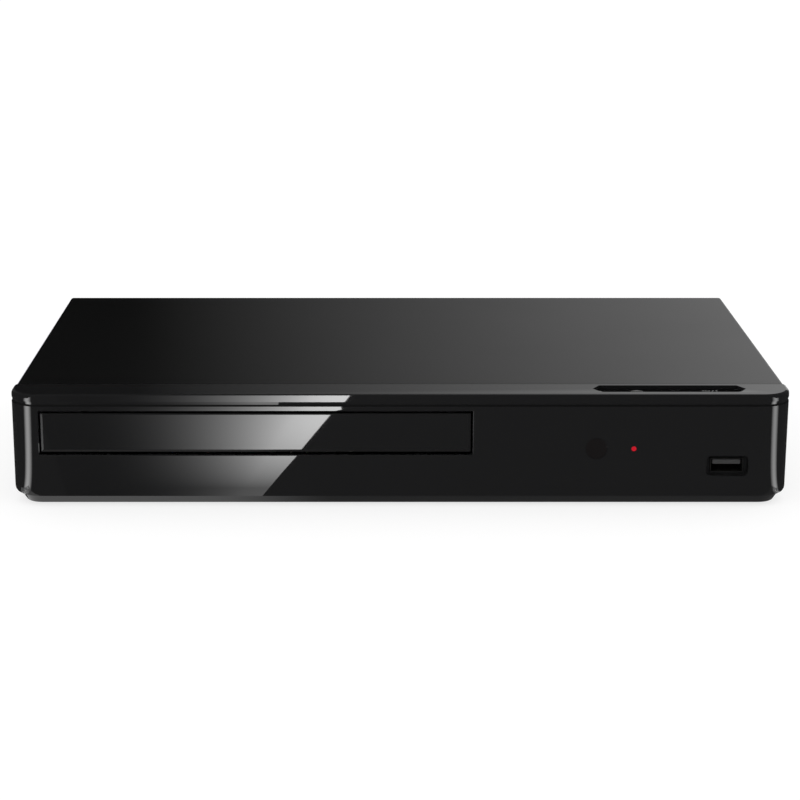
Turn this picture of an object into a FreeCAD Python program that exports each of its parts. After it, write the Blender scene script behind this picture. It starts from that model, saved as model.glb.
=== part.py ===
import FreeCAD, Part
import os
from math import acos, cos, hypot, pi, radians, sin, sqrt, tan

Vector = FreeCAD.Vector
os.makedirs("parts", exist_ok=True)

# Slim blu-ray player. Millimetres, +Z up, the front faces -Y.
# The origin is the middle of the box's footprint on the shelf.

# Case
case_width = 312.0
case_depth = 180.0
panel_height = 45.5
panel_ground_gap = 1.0
foot_height = 3.5
foot_radius = 7.0
foot_side_inset = 26.0
foot_front_inset = 28.0
foot_rear_inset = 16.0
foot_chamfer = 0.8

# Clearances
fit_gap = 0.3
slide_gap = 0.3
shaft_gap = 0.05
seat_gap = 0.1

# Sheet metal
sheet = 0.8
cover_side_step = 1.0
cover_seam = 0.3
cover_bend_radius = 1.5
cover_rear_step = 1.9
cover_rear_lip = 12.0
cover_side_rise = 0.3
flange_side_gap = 0.2
chassis_flange_height = 10.0
tongue_gap = 1.1
rear_flange_depth = 8.0
hook_width = 10.0
hook_inset = 6.0
hook_depth = 3.0
hook_height = 2.3
hook_spacing = 100.0

# Front panel
strip_depth = 16.4
panel_wall = 2.5
corner_radius = 12.0
top_edge_chamfer = 0.4
shoulder_insets = (1.5, 0.7, 0.2)
shoulder_drops = (1.1, 2.0)
cap_face_height = 3.1
cap_chamfer_height = 1.2
cap_groove_height = 0.7
cap_groove_depth = 0.4
main_face_bottom = 42.1
side_edge_radius = 1.6
plinth_side_inset = 3.1
plinth_side_slope = 1.8
plinth_front_slope = 2.7
plinth_corner_radius = 9.0
plinth_wall = 2.0
ledge_depth = 5.0
side_ledge_gap = 1.0
tube_wall = 1.0
opening_chamfer = 0.3

# Tray door
door_centre_x = -57.6
door_width = 171.2
door_height = 15.95
door_drop = 7.8
door_gap = 0.8
door_bottom_gap = 1.25
door_thickness = 2.6
door_bevel = 1.0
door_bevel_depth = 0.45
door_top_bevel = 0.4

# Button groove in the top strip
groove_left_x = 77.0
groove_right_x = 138.3
groove_point = 3.0
groove_front = 4.0
groove_back = 14.35
groove_depth = 1.5
groove_floor = 2.2
groove_pad_margin = 5.0
open_close_left_x = 80.3
open_close_right_x = 108.4
power_left_x = 112.5
power_right_x = 134.5
button_gap = 0.25
button_margin = 0.35
button_travel = 0.4
button_flange = 1.2
button_flange_thickness = 1.0
button_stem = 4.0
button_stem_length = 0.6

# Lamp, sensor window and USB socket
window_x = 78.2
window_drop = 22.3
window_radius = 4.2
window_thickness = 1.6
window_seat = 1.0
receiver_half_width = 2.9
receiver_depth = 8.5
receiver_dome_radius = 2.2
receiver_chin = 1.0
led_x = 93.1
led_drop = 22.4
led_tip_radius = 1.0
led_collar_radius = 2.0
led_pipe_length = 9.0
led_bulb_radius = 1.5
led_bulb_gap = 0.5
led_rim = 0.4
led_rim_thickness = 1.0
led_rim_stand_off = 2.0
usb_x = 130.6
usb_drop = 29.5
usb_recess_width = 16.8
usb_recess_height = 8.5
usb_recess_radius = 2.0
usb_shell_width = 13.2
usb_shell_height = 5.8
usb_metal = 0.35
usb_mouth_depth = 1.6
usb_tongue_width = 11.2
usb_tongue_thickness = 1.9
usb_tongue_depth = 0.6
usb_tongue_setback = 1.0
usb_block = 4.0
usb_collar = 3.0
usb_collar_depth = 2.4

# Boards
board = 1.6
board_height = 6.0
front_board_depth = 18.0
front_board_left_x = 71.0
front_board_right_x = 147.0
front_board_bottom_drop = 38.5
button_board_left_x = 70.0
button_board_right_x = 146.0
button_board_front = 4.5
button_board_back = 16.4
switch_size = 6.0
switch_height = 3.4
plunger_radius = 1.75
plunger_rise = 0.9
plunger_depth = 1.4
post_radius = 2.8
land_rib = 1.2
main_board_left_x = 30.0
main_board_right_x = 100.0
main_board_length = 106.0
main_board_rear_gap = 2.4
power_board_left_x = 104.0
power_board_right_x = 150.0
power_board_length = 125.0
power_board_rear_gap = 6.4
processor_x = 64.0
processor_setback = 36.0
processor_size = 23.0
processor_height = 1.8
memory_width = 8.0
memory_length = 12.0
memory_height = 1.1
memory_distance = 17.0
sink_size = 30.0
sink_base = 2.0
sink_height = 9.0
sink_fin = 1.2
sink_fins = 9
small_can_radius = 3.15
small_can_height = 8.0
small_can_places = [(38, 54), (38, 64), (92, 18), (92, 28), (92, 64), (44, 8)]
can_chamfer = 0.4
standoff_radius = 3.4
standoff_inset = 4.0

# Screws
screw_radius = 1.5
screw_head_radius = 3.0
screw_head_height = 1.6
low_head_height = 0.9
low_head_radius = 3.5
screw_slot = 0.7
screw_length = 5.0
screw_gap = 0.1
screw_recess_reach = 0.6
screw_recess_depth = 0.55
side_screw_front_inset = 22.0
side_screw_rear_inset = 18.0
side_screw_drop = 4.5
lip_screw_spacing = 100.0
flange_screw_x = (-145.0, 22.0, 102.0)
flange_screw_length = 3.0
main_left_screw_inset = 18.0
main_right_screw_inset = 28.0
power_screw_inset = 30.0

# Vents, as first and last places
floor_vent_width = 3.0
floor_vent_pitch = 7.0
floor_vent_length = 20.0
main_vent_x = (40.0, 98.0)
main_vent_setback = (14.0, 48.0)
power_vent_x = (112.0, 148.0)
power_vent_setback = (15.0, 55.0)
rear_vent_width = 2.2
rear_vent_pitch = 5.0
rear_vent_x = (-140.0, -20.0)
rear_vent_z = (12.0, 24.0)

# Rear sockets
hdmi_x = 50.0
hdmi_width = 15.0
hdmi_height = 5.8
hdmi_length = 12.0
lan_x = 72.0
lan_width = 16.2
lan_height = 13.6
lan_length = 16.0
optical_x = 91.0
optical_size = 9.8
optical_length = 13.0
inlet_x = 127.0
inlet_width = 21.0
inlet_height = 14.0
inlet_length = 19.0
inlet_pin_radius = 1.2
inlet_pin_spacing = 8.6
inlet_hole_radius = 3.9
inlet_hole_depth = 11.0
inlet_pin_setback = 2.0
inlet_waist = 6.2
inlet_corner_radius = 1.5
socket_wall = 0.4
socket_back = 2.0
socket_stand_out = 0.3
hdmi_bevel = 2.0
hdmi_tongue_inset = 2.0
hdmi_tongue_setback = 1.2
hdmi_tongue_rise = 2.5
hdmi_tongue_thickness = 1.2
lan_plug_width = 11.8
lan_plug_height = 7.2
lan_plug_rise = 3.2
lan_plug_depth = 12.0
lan_latch_width = 6.0
lan_latch_height = 2.0
optical_plug_size = 7.2
optical_plug_depth = 8.0
optical_plug_bevel = 1.6
optical_lens_radius = 1.2
optical_lens_length = 5.0

# Power supply
transformer_x = 127.0
transformer_setback = 47.0
core_width = 24.0
core_depth = 20.0
core_limb = 4.0
core_lift = 2.0
core_height = 16.0
bobbin_width = 26.0
bobbin_height = 19.0
centre_limb_width = 8.0
centre_limb_height = 10.0
coil_gap = 0.2
mains_can_x = 138.0
mains_can_setback = 83.0
mains_can_radius = 8.0
mains_can_height = 25.0
output_can_places = [(113, 23), (113, 13), (123, 9), (133, 9)]
output_can_radius = 4.0
output_can_height = 14.0
switch_sink_x = 116.0
switch_sink_setback = 60.0
switch_sink_plate = 2.0
switch_sink_length = 30.0
switch_sink_height = 22.0
switch_fin_length = 8.0
switch_fin = 1.2
switch_fin_pitch = 7.0
switch_fin_lift = 6.0

# Inner cables
ribbon = 0.3
ribbon_lift = 0.4
front_cable_x = (74.0, 88.0)
front_cable_sag = 4.0
drive_cable_setback = (72.0, 82.0)
cable_bend = 12.0
connector_depth = 5.0
connector_height = 2.6
connector_margin = 2.0
connector_slot = 1.0
front_connector_z = 12.0
wire_count = 5
wire_pitch = 2.5
wire_first_setback = 40.0
wire_radius = 0.7
wire_rise = 2.0
wire_housing_inset = 5.0
wire_housing_width = 4.4
wire_housing_height = 5.0

# Disc and tray
disc_setback = 75.0
disc_well_radius = 60.6
small_disc_radius = 40.6
tray_width = 130.0
tray_rear_gap = 4.0
tray_bottom_z = 26.4
tray_rim_z = 31.3
tray_well_depth = 2.0
tray_small_well_depth = 0.6
tray_floor = 1.8
tray_skirt = 3.0
tray_slot_width = 36.0
tray_flange = 3.0
tray_flange_thickness = 1.8
tray_front_wall = 1.9
tray_front_wall_width = 152.0
tray_front_wall_drop = 0.9
tray_front_wall_rise = 6.2
tray_scallop_radius = 11.0
tray_flange_inset = 2.0
gusset_length = 6.0
gusset_thickness = 1.6
gusset_drop = 1.0
gusset_places = (-50.0, -20.0, 20.0, 50.0)
tray_travel = 130.0

# Drive frame
frame_bottom_z = 7.3
frame_base = 2.0
frame_half_width = 71.0
frame_wall = 2.5
frame_setback = 14.0
frame_rear_gap = 6.4
frame_wall_top_z = 31.0
frame_window_half = 40.0
frame_window_lead = 0.5
frame_window_rear_inset = 32.5
ear_x = 77.0
ear_inset = 10.0
ear_radius = 8.0
drive_board_half_width = 32.0
drive_board_gap = 0.5
drive_board_length = 22.0
drive_board_lift = 1.0
bearing_half_length = 5.0
bearing_rise = 4.0
bridge_pier = 12.0
bridge_pier_slope = 4.0
axle_boss_wall = 1.2
rail_tab_front_insets = (4.0, 54.0)
rail_tab_rear_insets = (54.0, 22.0)
cable_notch = 1.0
cable_notch_height = 4.0
rail_width = 5.0
rail_thickness = 1.5
rail_tab_length = 12.0
rail_tab_width = 3.0
damper_radius = 5.5
damper_neck_radius = 3.9
damper_lip = 1.0
damper_boss_radius = 4.6

# Clamp bridge and clamper
bridge_z = 35.6
bridge_sheet = 1.2
bridge_length = 36.0
bridge_flange = 3.0
bridge_lip_inset = 10.0
bridge_hole_radius = 13.0
bridge_screw_x = 74.6
bridge_screw_spacing = 24.0
bridge_post_radius = 3.4
clamper_radius = 15.5
clamper_bottom_z = 32.0
clamper_plate = 2.6
clamper_neck_radius = 11.5
clamper_lift = 0.5
clamper_flange_radius = 15.0
clamper_flange = 1.3
clamper_recess_radius = 9.0
clamper_recess_depth = 2.2

# Tray loading gears, places from the disc's centre line
gear_module = 1.0
tray_gear_teeth = 24
pinion_teeth = 12
gear_backlash = 0.16
gear_addendum = 0.85
gear_dedendum = 1.1
pressure_angle = 20.0
gear_setback = 16.0
rack_x = 46.0
rack_rib = 3.4
rack_lead = 6.0
gear_z = 21.4
gear_width = 3.8
axle_radius = 1.5
big_pulley_radius = 13.0
big_pulley_groove_radius = 12.2
pulley_width = 3.2
small_pulley_radius = 3.6
small_pulley_groove_radius = 2.8
belt_thickness = 1.0
belt_width = 1.4
belt_gap = 0.1
motor_centre_distance = 37.0
motor_radius = 11.0
motor_bottom_z = 5.0
motor_height = 11.6
motor_shaft_radius = 1.0
motor_collar = 1.8
motor_collar_height = 5.0

# Cam slider
slider_plate = 2.4
slider_gap_y = 2.7
slider_half_length = 38.0
slider_top_z = 23.2
slider_foot = 2.4
slider_foot_thickness = 1.5
slider_travel = 20.0
cam_pin_x = -10.0
cam_pin_radius = 1.5
cam_clearance = 0.6
cam_pin_end = 0.2
slider_guide = 1.2
slider_guide_lip = 1.4
slider_guide_width = 6.0
slider_guide_places = (-36.0, 6.0)

# Traverse, which tilts about its rear pivots
traverse_half_width = 38.0
traverse_lead = 24.0
traverse_rear_inset = 9.0
traverse_bottom_z = 17.5
traverse_height = 4.5
traverse_plate = 2.0
traverse_rim = 3.0
traverse_window_half = 28.0
traverse_window_setback = 15.0
traverse_window_rear_inset = 9.0
pivot_inset = 5.0
pivot_z = 20.0
pivot_radius = 1.5
pivot_length = 5.5
pivot_ear = 3.0
ear_gap = 1.0
tilt_angle = 4.5
rod_x = 22.0
rod_z = 20.0
rod_radius = 1.5
rod_end = 2.0
spindle_radius = 12.5
spindle_height = 7.0
spindle_bearing = 1.0
turntable_radius = 14.5
turntable_z = 30.2
turntable_thickness = 3.0
spindle_shaft_radius = 1.0
hub_radius = 7.4
hub_height = 2.8
hub_chamfer = 1.0

# Pickup sled and its feed gears
sled_setback = 15.5
sled_length = 24.0
sled_half_width = 17.0
sled_bottom_z = 15.6
sled_top_z = 25.2
sled_bush_radius = 3.2
sled_arm = 3.0
sled_travel = 35.0
lens_setback = 23.0
lens_radius = 2.4
lens_top_z = 29.0
actuator_half_width = 9.0
actuator_inset = 1.0
actuator_length = 15.5
actuator_top_z = 28.2
feed_module = 0.8
feed_pinion_teeth = 12
feed_gear_teeth = 30
feed_motor_gear_teeth = 10
feed_rack_x = -27.0
feed_gear_setback = 35.0
feed_pinion_z = 17.8
feed_pinion_width = 2.4
feed_gear_width = 1.9
feed_neck = 1.4
feed_axle_radius = 1.0
feed_motor_radius = 6.5
feed_motor_height = 6.0
feed_motor_drop = 0.7
feed_wall = 2.0
feed_wall_gap = 0.5
feed_axle_setback = 0.2
feed_rack_rib = 1.6
rack_slot_left = 1.6
rack_slot_right = 4.4
rack_slot_end = 6.0
rack_end = 4.0
short_bush_inset = 8.0
lens_rounding = 0.6

# Places worked out from the sizes above
half_width = case_width / 2
front_y = -case_depth / 2
rear_y = case_depth / 2
top_z = panel_ground_gap + panel_height
panel_back_y = front_y + strip_depth
panel_inner_y = front_y + panel_wall
strip_under_z = top_z - panel_wall
floor_under_z = foot_height
floor_z = foot_height + sheet
cover_half = half_width - cover_side_step
cover_inner_half = cover_half - sheet
cover_front_y = panel_back_y + cover_seam
cover_rear_y = rear_y - cover_rear_step
cover_under_z = top_z - sheet
chassis_half = cover_inner_half - flange_side_gap
rear_panel_y = cover_rear_y - sheet - seat_gap
rear_panel_inner_y = rear_panel_y - sheet
main_board_rear_y = rear_panel_inner_y - main_board_rear_gap
main_board_front_y = main_board_rear_y - main_board_length
power_board_rear_y = rear_panel_inner_y - power_board_rear_gap
power_board_front_y = power_board_rear_y - power_board_length
processor_y = main_board_front_y + processor_setback
transformer_y = power_board_front_y + transformer_setback
mains_can_y = power_board_front_y + mains_can_setback
switch_sink_y = power_board_front_y + switch_sink_setback
drive_cable_y = [main_board_front_y + y for y in drive_cable_setback]
main_vent_y = [main_board_front_y + y for y in main_vent_setback]
power_vent_y = [power_board_front_y + y for y in power_vent_setback]
wire_first_y = main_board_front_y + wire_first_setback
drive_x = door_centre_x
disc_y = front_y + disc_setback
frame_front_y = front_y + frame_setback
frame_rear_y = rear_panel_inner_y - frame_rear_gap
tray_rear_y = frame_rear_y - tray_rear_gap
ear_front_y = frame_front_y + ear_inset
ear_rear_y = frame_rear_y - ear_inset
gear_y = frame_front_y + gear_setback
traverse_front_y = disc_y - traverse_lead
traverse_rear_y = frame_rear_y - traverse_rear_inset
traverse_window_front_y = disc_y + traverse_window_setback
traverse_window_rear_y = traverse_rear_y - traverse_window_rear_inset
frame_window_front_y = traverse_front_y - frame_window_lead
frame_window_rear_y = frame_rear_y - frame_window_rear_inset
pivot_y = traverse_rear_y - pivot_inset
sled_front_y = disc_y + sled_setback
actuator_front_y = sled_front_y + actuator_inset
lens_y = disc_y + lens_setback
feed_gear_y = disc_y + feed_gear_setback
frame_floor_z = frame_bottom_z + frame_base
board_z = floor_z + board_height
board_top_z = board_z + board
drive_board_top_z = frame_floor_z + drive_board_lift + board
drive_board_right_x = drive_x + drive_board_half_width
window_z = top_z - window_drop
led_z = top_z - led_drop
usb_z = top_z - usb_drop
usb_mouth_y = front_y + usb_mouth_depth
front_board_y = front_y + front_board_depth
door_left_x = door_centre_x - door_width / 2
door_right_x = door_centre_x + door_width / 2
door_top_z = top_z - door_drop
door_bottom_z = door_top_z - door_height
door_back_y = front_y + door_thickness
rack_bottom_z = door_bottom_z - door_bottom_gap + slide_gap
groove_front_y = front_y + groove_front
groove_back_y = front_y + groove_back
pad_under_z = top_z - groove_depth - groove_floor
flange_top_z = pad_under_z
flange_bottom_z = flange_top_z - button_flange_thickness
stem_bottom_z = flange_bottom_z - button_stem_length
switch_top_z = stem_bottom_z - plunger_rise
button_board_top_z = switch_top_z - switch_height
button_board_z = button_board_top_z - board
tray_gear_radius = gear_module * tray_gear_teeth / 2
pinion_radius = gear_module * pinion_teeth / 2
tray_gear_x = drive_x + rack_x - tray_gear_radius
pulley_gear_x = tray_gear_x - tray_gear_radius - pinion_radius
loading_motor_x = pulley_gear_x - motor_centre_distance
pulley_z = gear_z - seat_gap - pulley_width
slider_front_y = traverse_front_y - slider_gap_y - slider_plate
slider_back_y = slider_front_y + slider_plate
feed_pinion_radius = feed_module * feed_pinion_teeth / 2
feed_gear_radius = feed_module * feed_gear_teeth / 2
feed_motor_gear_radius = feed_module * feed_motor_gear_teeth / 2
feed_gear_x = drive_x + feed_rack_x - feed_pinion_radius
feed_motor_y = feed_gear_y + feed_gear_radius + feed_motor_gear_radius
feed_gear_z = feed_pinion_z - feed_neck - feed_gear_width


# Plain solids

def box(x0, x1, y0, y1, z0, z1):
    return Part.makeBox(x1 - x0, y1 - y0, z1 - z0, Vector(x0, y0, z0))


def post(x, y, z0, z1, radius):
    return Part.makeCylinder(radius, z1 - z0, Vector(x, y, z0))


def rod_along_y(x, z, y0, y1, radius):
    return Part.makeCylinder(radius, y1 - y0, Vector(x, y0, z), Vector(0, 1, 0))


def rod_along_x(y, z, x0, x1, radius):
    return Part.makeCylinder(radius, x1 - x0, Vector(x0, y, z), Vector(1, 0, 0))


def prism(corners, push):
    outline = Part.makePolygon(corners + [corners[0]])
    return Part.Face(outline).extrude(push)


def plate_z(points, z0, z1):
    return prism([Vector(x, y, z0) for x, y in points], Vector(0, 0, z1 - z0))


def plate_y(points, y0, y1):
    return prism([Vector(x, y0, z) for x, z in points], Vector(0, y1 - y0, 0))


def plate_x(points, x0, x1):
    return prism([Vector(x0, y, z) for y, z in points], Vector(x1 - x0, 0, 0))


def edges_along(shape, axis):
    found = []
    for edge in shape.Edges:
        if edge.Curve.TypeId == "Part::GeomLine":
            direction = edge.Vertexes[1].Point - edge.Vertexes[0].Point
            direction.normalize()
            if abs(direction.dot(axis)) > 0.999:
                found.append(edge)
    return found


def rounded_box(x0, x1, y0, y1, z0, z1, radius, axis=Vector(0, 0, 1)):
    block = box(x0, x1, y0, y1, z0, z1)
    return block.makeFillet(radius, edges_along(block, axis))


def join(*solids):
    return solids[0].multiFuse(list(solids[1:])).removeSplitter()


def carve(solid, tools):
    return solid.cut(Part.makeCompound(tools))


def group(solids):
    return Part.makeCompound(solids)


def save(node, shape):
    shape.exportStep(f"parts/{node}.step")


# Screws stand with their head above the seat, on +Z, and are then turned to their way out.

def screw(seat, way_out, head_radius=screw_head_radius, head=screw_head_height, length=screw_length):
    body = join(post(0, 0, -length, 0, screw_radius), post(0, 0, 0, head, head_radius))
    reach = head_radius * screw_recess_reach
    depth = head * screw_recess_depth
    recess = [
        box(-reach, reach, -screw_slot / 2, screw_slot / 2, head - depth, head),
        box(-screw_slot / 2, screw_slot / 2, -reach, reach, head - depth, head),
    ]
    body = carve(body, recess)
    body.Placement = FreeCAD.Placement(seat, FreeCAD.Rotation(Vector(0, 0, 1), way_out))
    return body


def screw_hole(seat, way_out, length=screw_length):
    start = seat - way_out * length
    return Part.makeCylinder(screw_radius + screw_gap, length, start, way_out)


UP = Vector(0, 0, 1)
DOWN = Vector(0, 0, -1)
BACK = Vector(0, 1, 0)


# Involute gears and a rack that meshes with them

def involute_turn(radius, base_radius):
    slope = acos(min(1.0, base_radius / radius))
    return tan(slope) - slope


def gear(teeth, module, x, y, z0, z1, first_tooth_angle):
    pitch_radius = teeth * module / 2
    base_radius = pitch_radius * cos(radians(pressure_angle))
    tip_radius = pitch_radius + gear_addendum * module
    root_radius = pitch_radius - gear_dedendum * module
    half_thickness = (pi * module / 2 - gear_backlash) / 2 / pitch_radius
    start_radius = max(root_radius, base_radius)
    radii = [start_radius + (tip_radius - start_radius) * step / 3 for step in range(4)]
    flank = []
    if root_radius < start_radius:
        flank.append((root_radius, half_thickness + involute_turn(pitch_radius, base_radius)))
    for radius in radii:
        turn = involute_turn(pitch_radius, base_radius) - involute_turn(radius, base_radius)
        flank.append((radius, half_thickness + turn))
    points = []
    for tooth in range(teeth):
        middle = radians(first_tooth_angle) + 2 * pi * tooth / teeth
        rising = [(radius, middle - angle) for radius, angle in flank]
        falling = [(radius, middle + angle) for radius, angle in reversed(flank)]
        points += [(x + radius * cos(a), y + radius * sin(a)) for radius, a in rising + falling]
    return plate_z(points, z0, z1)


def rack(module, pitch_x, back_x, y_tooth, y0, y1, z0, z1):
    """Rack along Y whose teeth point to -X; one tooth is centred on y_tooth."""
    pitch = pi * module
    tip = gear_addendum * module
    root = gear_dedendum * module
    lean = tan(radians(pressure_angle))
    half = (pitch / 2 - gear_backlash) / 2
    first = int((y0 - y_tooth) / pitch) - 1
    last = int((y1 - y_tooth) / pitch) + 1
    points = [(back_x, y0), (back_x, y1), (pitch_x + root, y1)]
    for tooth in range(last, first - 1, -1):
        middle = y_tooth + tooth * pitch
        if middle - pitch / 2 < y0 or middle + pitch / 2 > y1:
            continue
        points.append((pitch_x + root, middle + half + root * lean))
        points.append((pitch_x - tip, middle + half - tip * lean))
        points.append((pitch_x - tip, middle - half + tip * lean))
        points.append((pitch_x + root, middle - half - root * lean))
    points.append((pitch_x + root, y0))
    return plate_z(points, z0, z1)


# Front panel: one glossy moulding that wraps the top, the front and both sides.

def panel_outline(drop, front_inset, side_inset, radius):
    z = top_z - drop
    left = -half_width + side_inset
    right = half_width - side_inset
    front = front_y + front_inset
    bend = radius * (1 - sqrt(0.5))
    rear_left = Vector(left, panel_back_y, z)
    rear_right = Vector(right, panel_back_y, z)
    left_arc = [
        Vector(left, front + radius, z),
        Vector(left + bend, front + bend, z),
        Vector(left + radius, front, z),
    ]
    right_arc = [
        Vector(right - radius, front, z),
        Vector(right - bend, front + bend, z),
        Vector(right, front + radius, z),
    ]
    edges = [
        Part.LineSegment(rear_left, left_arc[0]),
        Part.Arc(*left_arc),
        Part.LineSegment(left_arc[2], right_arc[0]),
        Part.Arc(*right_arc),
        Part.LineSegment(right_arc[2], rear_right),
        Part.LineSegment(rear_right, rear_left),
    ]
    return Part.Wire([edge.toShape() for edge in edges])


def panel_layer(upper, lower):
    if upper[1:] == lower[1:]:
        face = Part.Face(panel_outline(*upper))
        return face.extrude(Vector(0, 0, upper[0] - lower[0]))
    return Part.makeLoft([panel_outline(*upper), panel_outline(*lower)], True, True)


def panel_skin():
    chamfer_end = cap_face_height + cap_chamfer_height
    face_start = chamfer_end + cap_groove_height
    rounding_start = main_face_bottom - side_edge_radius
    upper, middle, lower = shoulder_insets
    levels = [
        (0, top_edge_chamfer, upper, corner_radius - upper),
        (top_edge_chamfer, 0, middle, corner_radius - middle),
        (shoulder_drops[0], 0, lower, corner_radius - lower),
        (shoulder_drops[1], 0, 0, corner_radius),
        (cap_face_height, 0, 0, corner_radius),
        (chamfer_end, cap_groove_depth, cap_groove_depth, corner_radius - cap_groove_depth),
        (face_start, 0, 0, corner_radius),
        (rounding_start, 0, 0, corner_radius),
    ]
    for turn in (30, 60, 90):
        drop = rounding_start + side_edge_radius * sin(radians(turn))
        inset = side_edge_radius * (1 - cos(radians(turn)))
        levels.append((drop, 0, inset, corner_radius - inset))
    layers = [panel_layer(upper, lower) for upper, lower in zip(levels, levels[1:])]
    plinth_top = (main_face_bottom, 0, plinth_side_inset, plinth_corner_radius)
    plinth_foot = (
        panel_height,
        plinth_front_slope,
        plinth_side_inset + plinth_side_slope,
        plinth_corner_radius - plinth_side_slope,
    )
    layers.append(panel_layer(plinth_top, plinth_foot))
    return join(*layers)


def panel_hollow():
    shelf = main_face_bottom - panel_wall / 2
    upper_radius = corner_radius - panel_wall
    lower_inset = plinth_side_inset + plinth_side_slope + plinth_wall
    lower_front = plinth_front_slope + plinth_wall
    lower_radius = plinth_corner_radius - plinth_side_slope - plinth_wall
    floor_drop = top_z - floor_under_z
    upper = panel_layer((panel_wall, panel_wall, panel_wall, upper_radius),
                        (shelf, panel_wall, panel_wall, upper_radius))
    lower = panel_layer((shelf, lower_front, lower_inset, lower_radius),
                        (floor_drop, lower_front, lower_inset, lower_radius))
    return [upper, lower]


def flared_hole(x0, x1, z0, z1, depth, flare):
    straight = box(x0, x1, front_y, front_y + depth, z0, z1)
    front_corners = [(x0 - flare, z0 - flare), (x1 + flare, z0 - flare),
                     (x1 + flare, z1 + flare), (x0 - flare, z1 + flare)]
    back_corners = [(x0, z0), (x1, z0), (x1, z1), (x0, z1)]
    wires = []
    for corners, y in ((front_corners, front_y), (back_corners, front_y + flare)):
        ordered = [Vector(x, y, z) for x, z in corners]
        wires.append(Part.makePolygon(ordered + [ordered[0]]))
    return join(straight, Part.makeLoft(wires, True, True))


def groove_slope(lower, x0, x1):
    """Space above the groove's sloping floor, down to `lower` under it."""
    front = (groove_front_y, top_z - lower)
    back = (groove_back_y, top_z - groove_depth - lower)
    return plate_x([front, back, (groove_back_y, top_z + 1), (groove_front_y, top_z + 1)], x0, x1)


def groove_cut():
    middle_y = (groove_front_y + groove_back_y) / 2
    outline = [
        (groove_left_x, middle_y),
        (groove_left_x + groove_point, groove_front_y),
        (groove_right_x - groove_point, groove_front_y),
        (groove_right_x, middle_y),
        (groove_right_x - groove_point, groove_back_y),
        (groove_left_x + groove_point, groove_back_y),
    ]
    column = plate_z(outline, top_z - groove_depth - 1, top_z + 1)
    return column.common(groove_slope(0, groove_left_x, groove_right_x))


BUTTONS = {
    "open_close": (open_close_left_x, open_close_right_x),
    "power": (power_left_x, power_right_x),
}
button_front_y = groove_front_y + button_margin
button_back_y = groove_back_y - button_margin
button_middle_y = (button_front_y + button_back_y) / 2

button_post_x = [button_board_left_x + standoff_inset, button_board_right_x - standoff_inset]
front_board_top_z = button_board_z - fit_gap
front_board_posts = [
    (front_board_left_x + standoff_inset, front_board_top_z - standoff_inset - screw_slot),
    (front_board_right_x - standoff_inset, front_board_top_z - standoff_inset - screw_slot),
    (led_x + 2 * standoff_inset, top_z - front_board_bottom_drop + standoff_inset),
]


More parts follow.
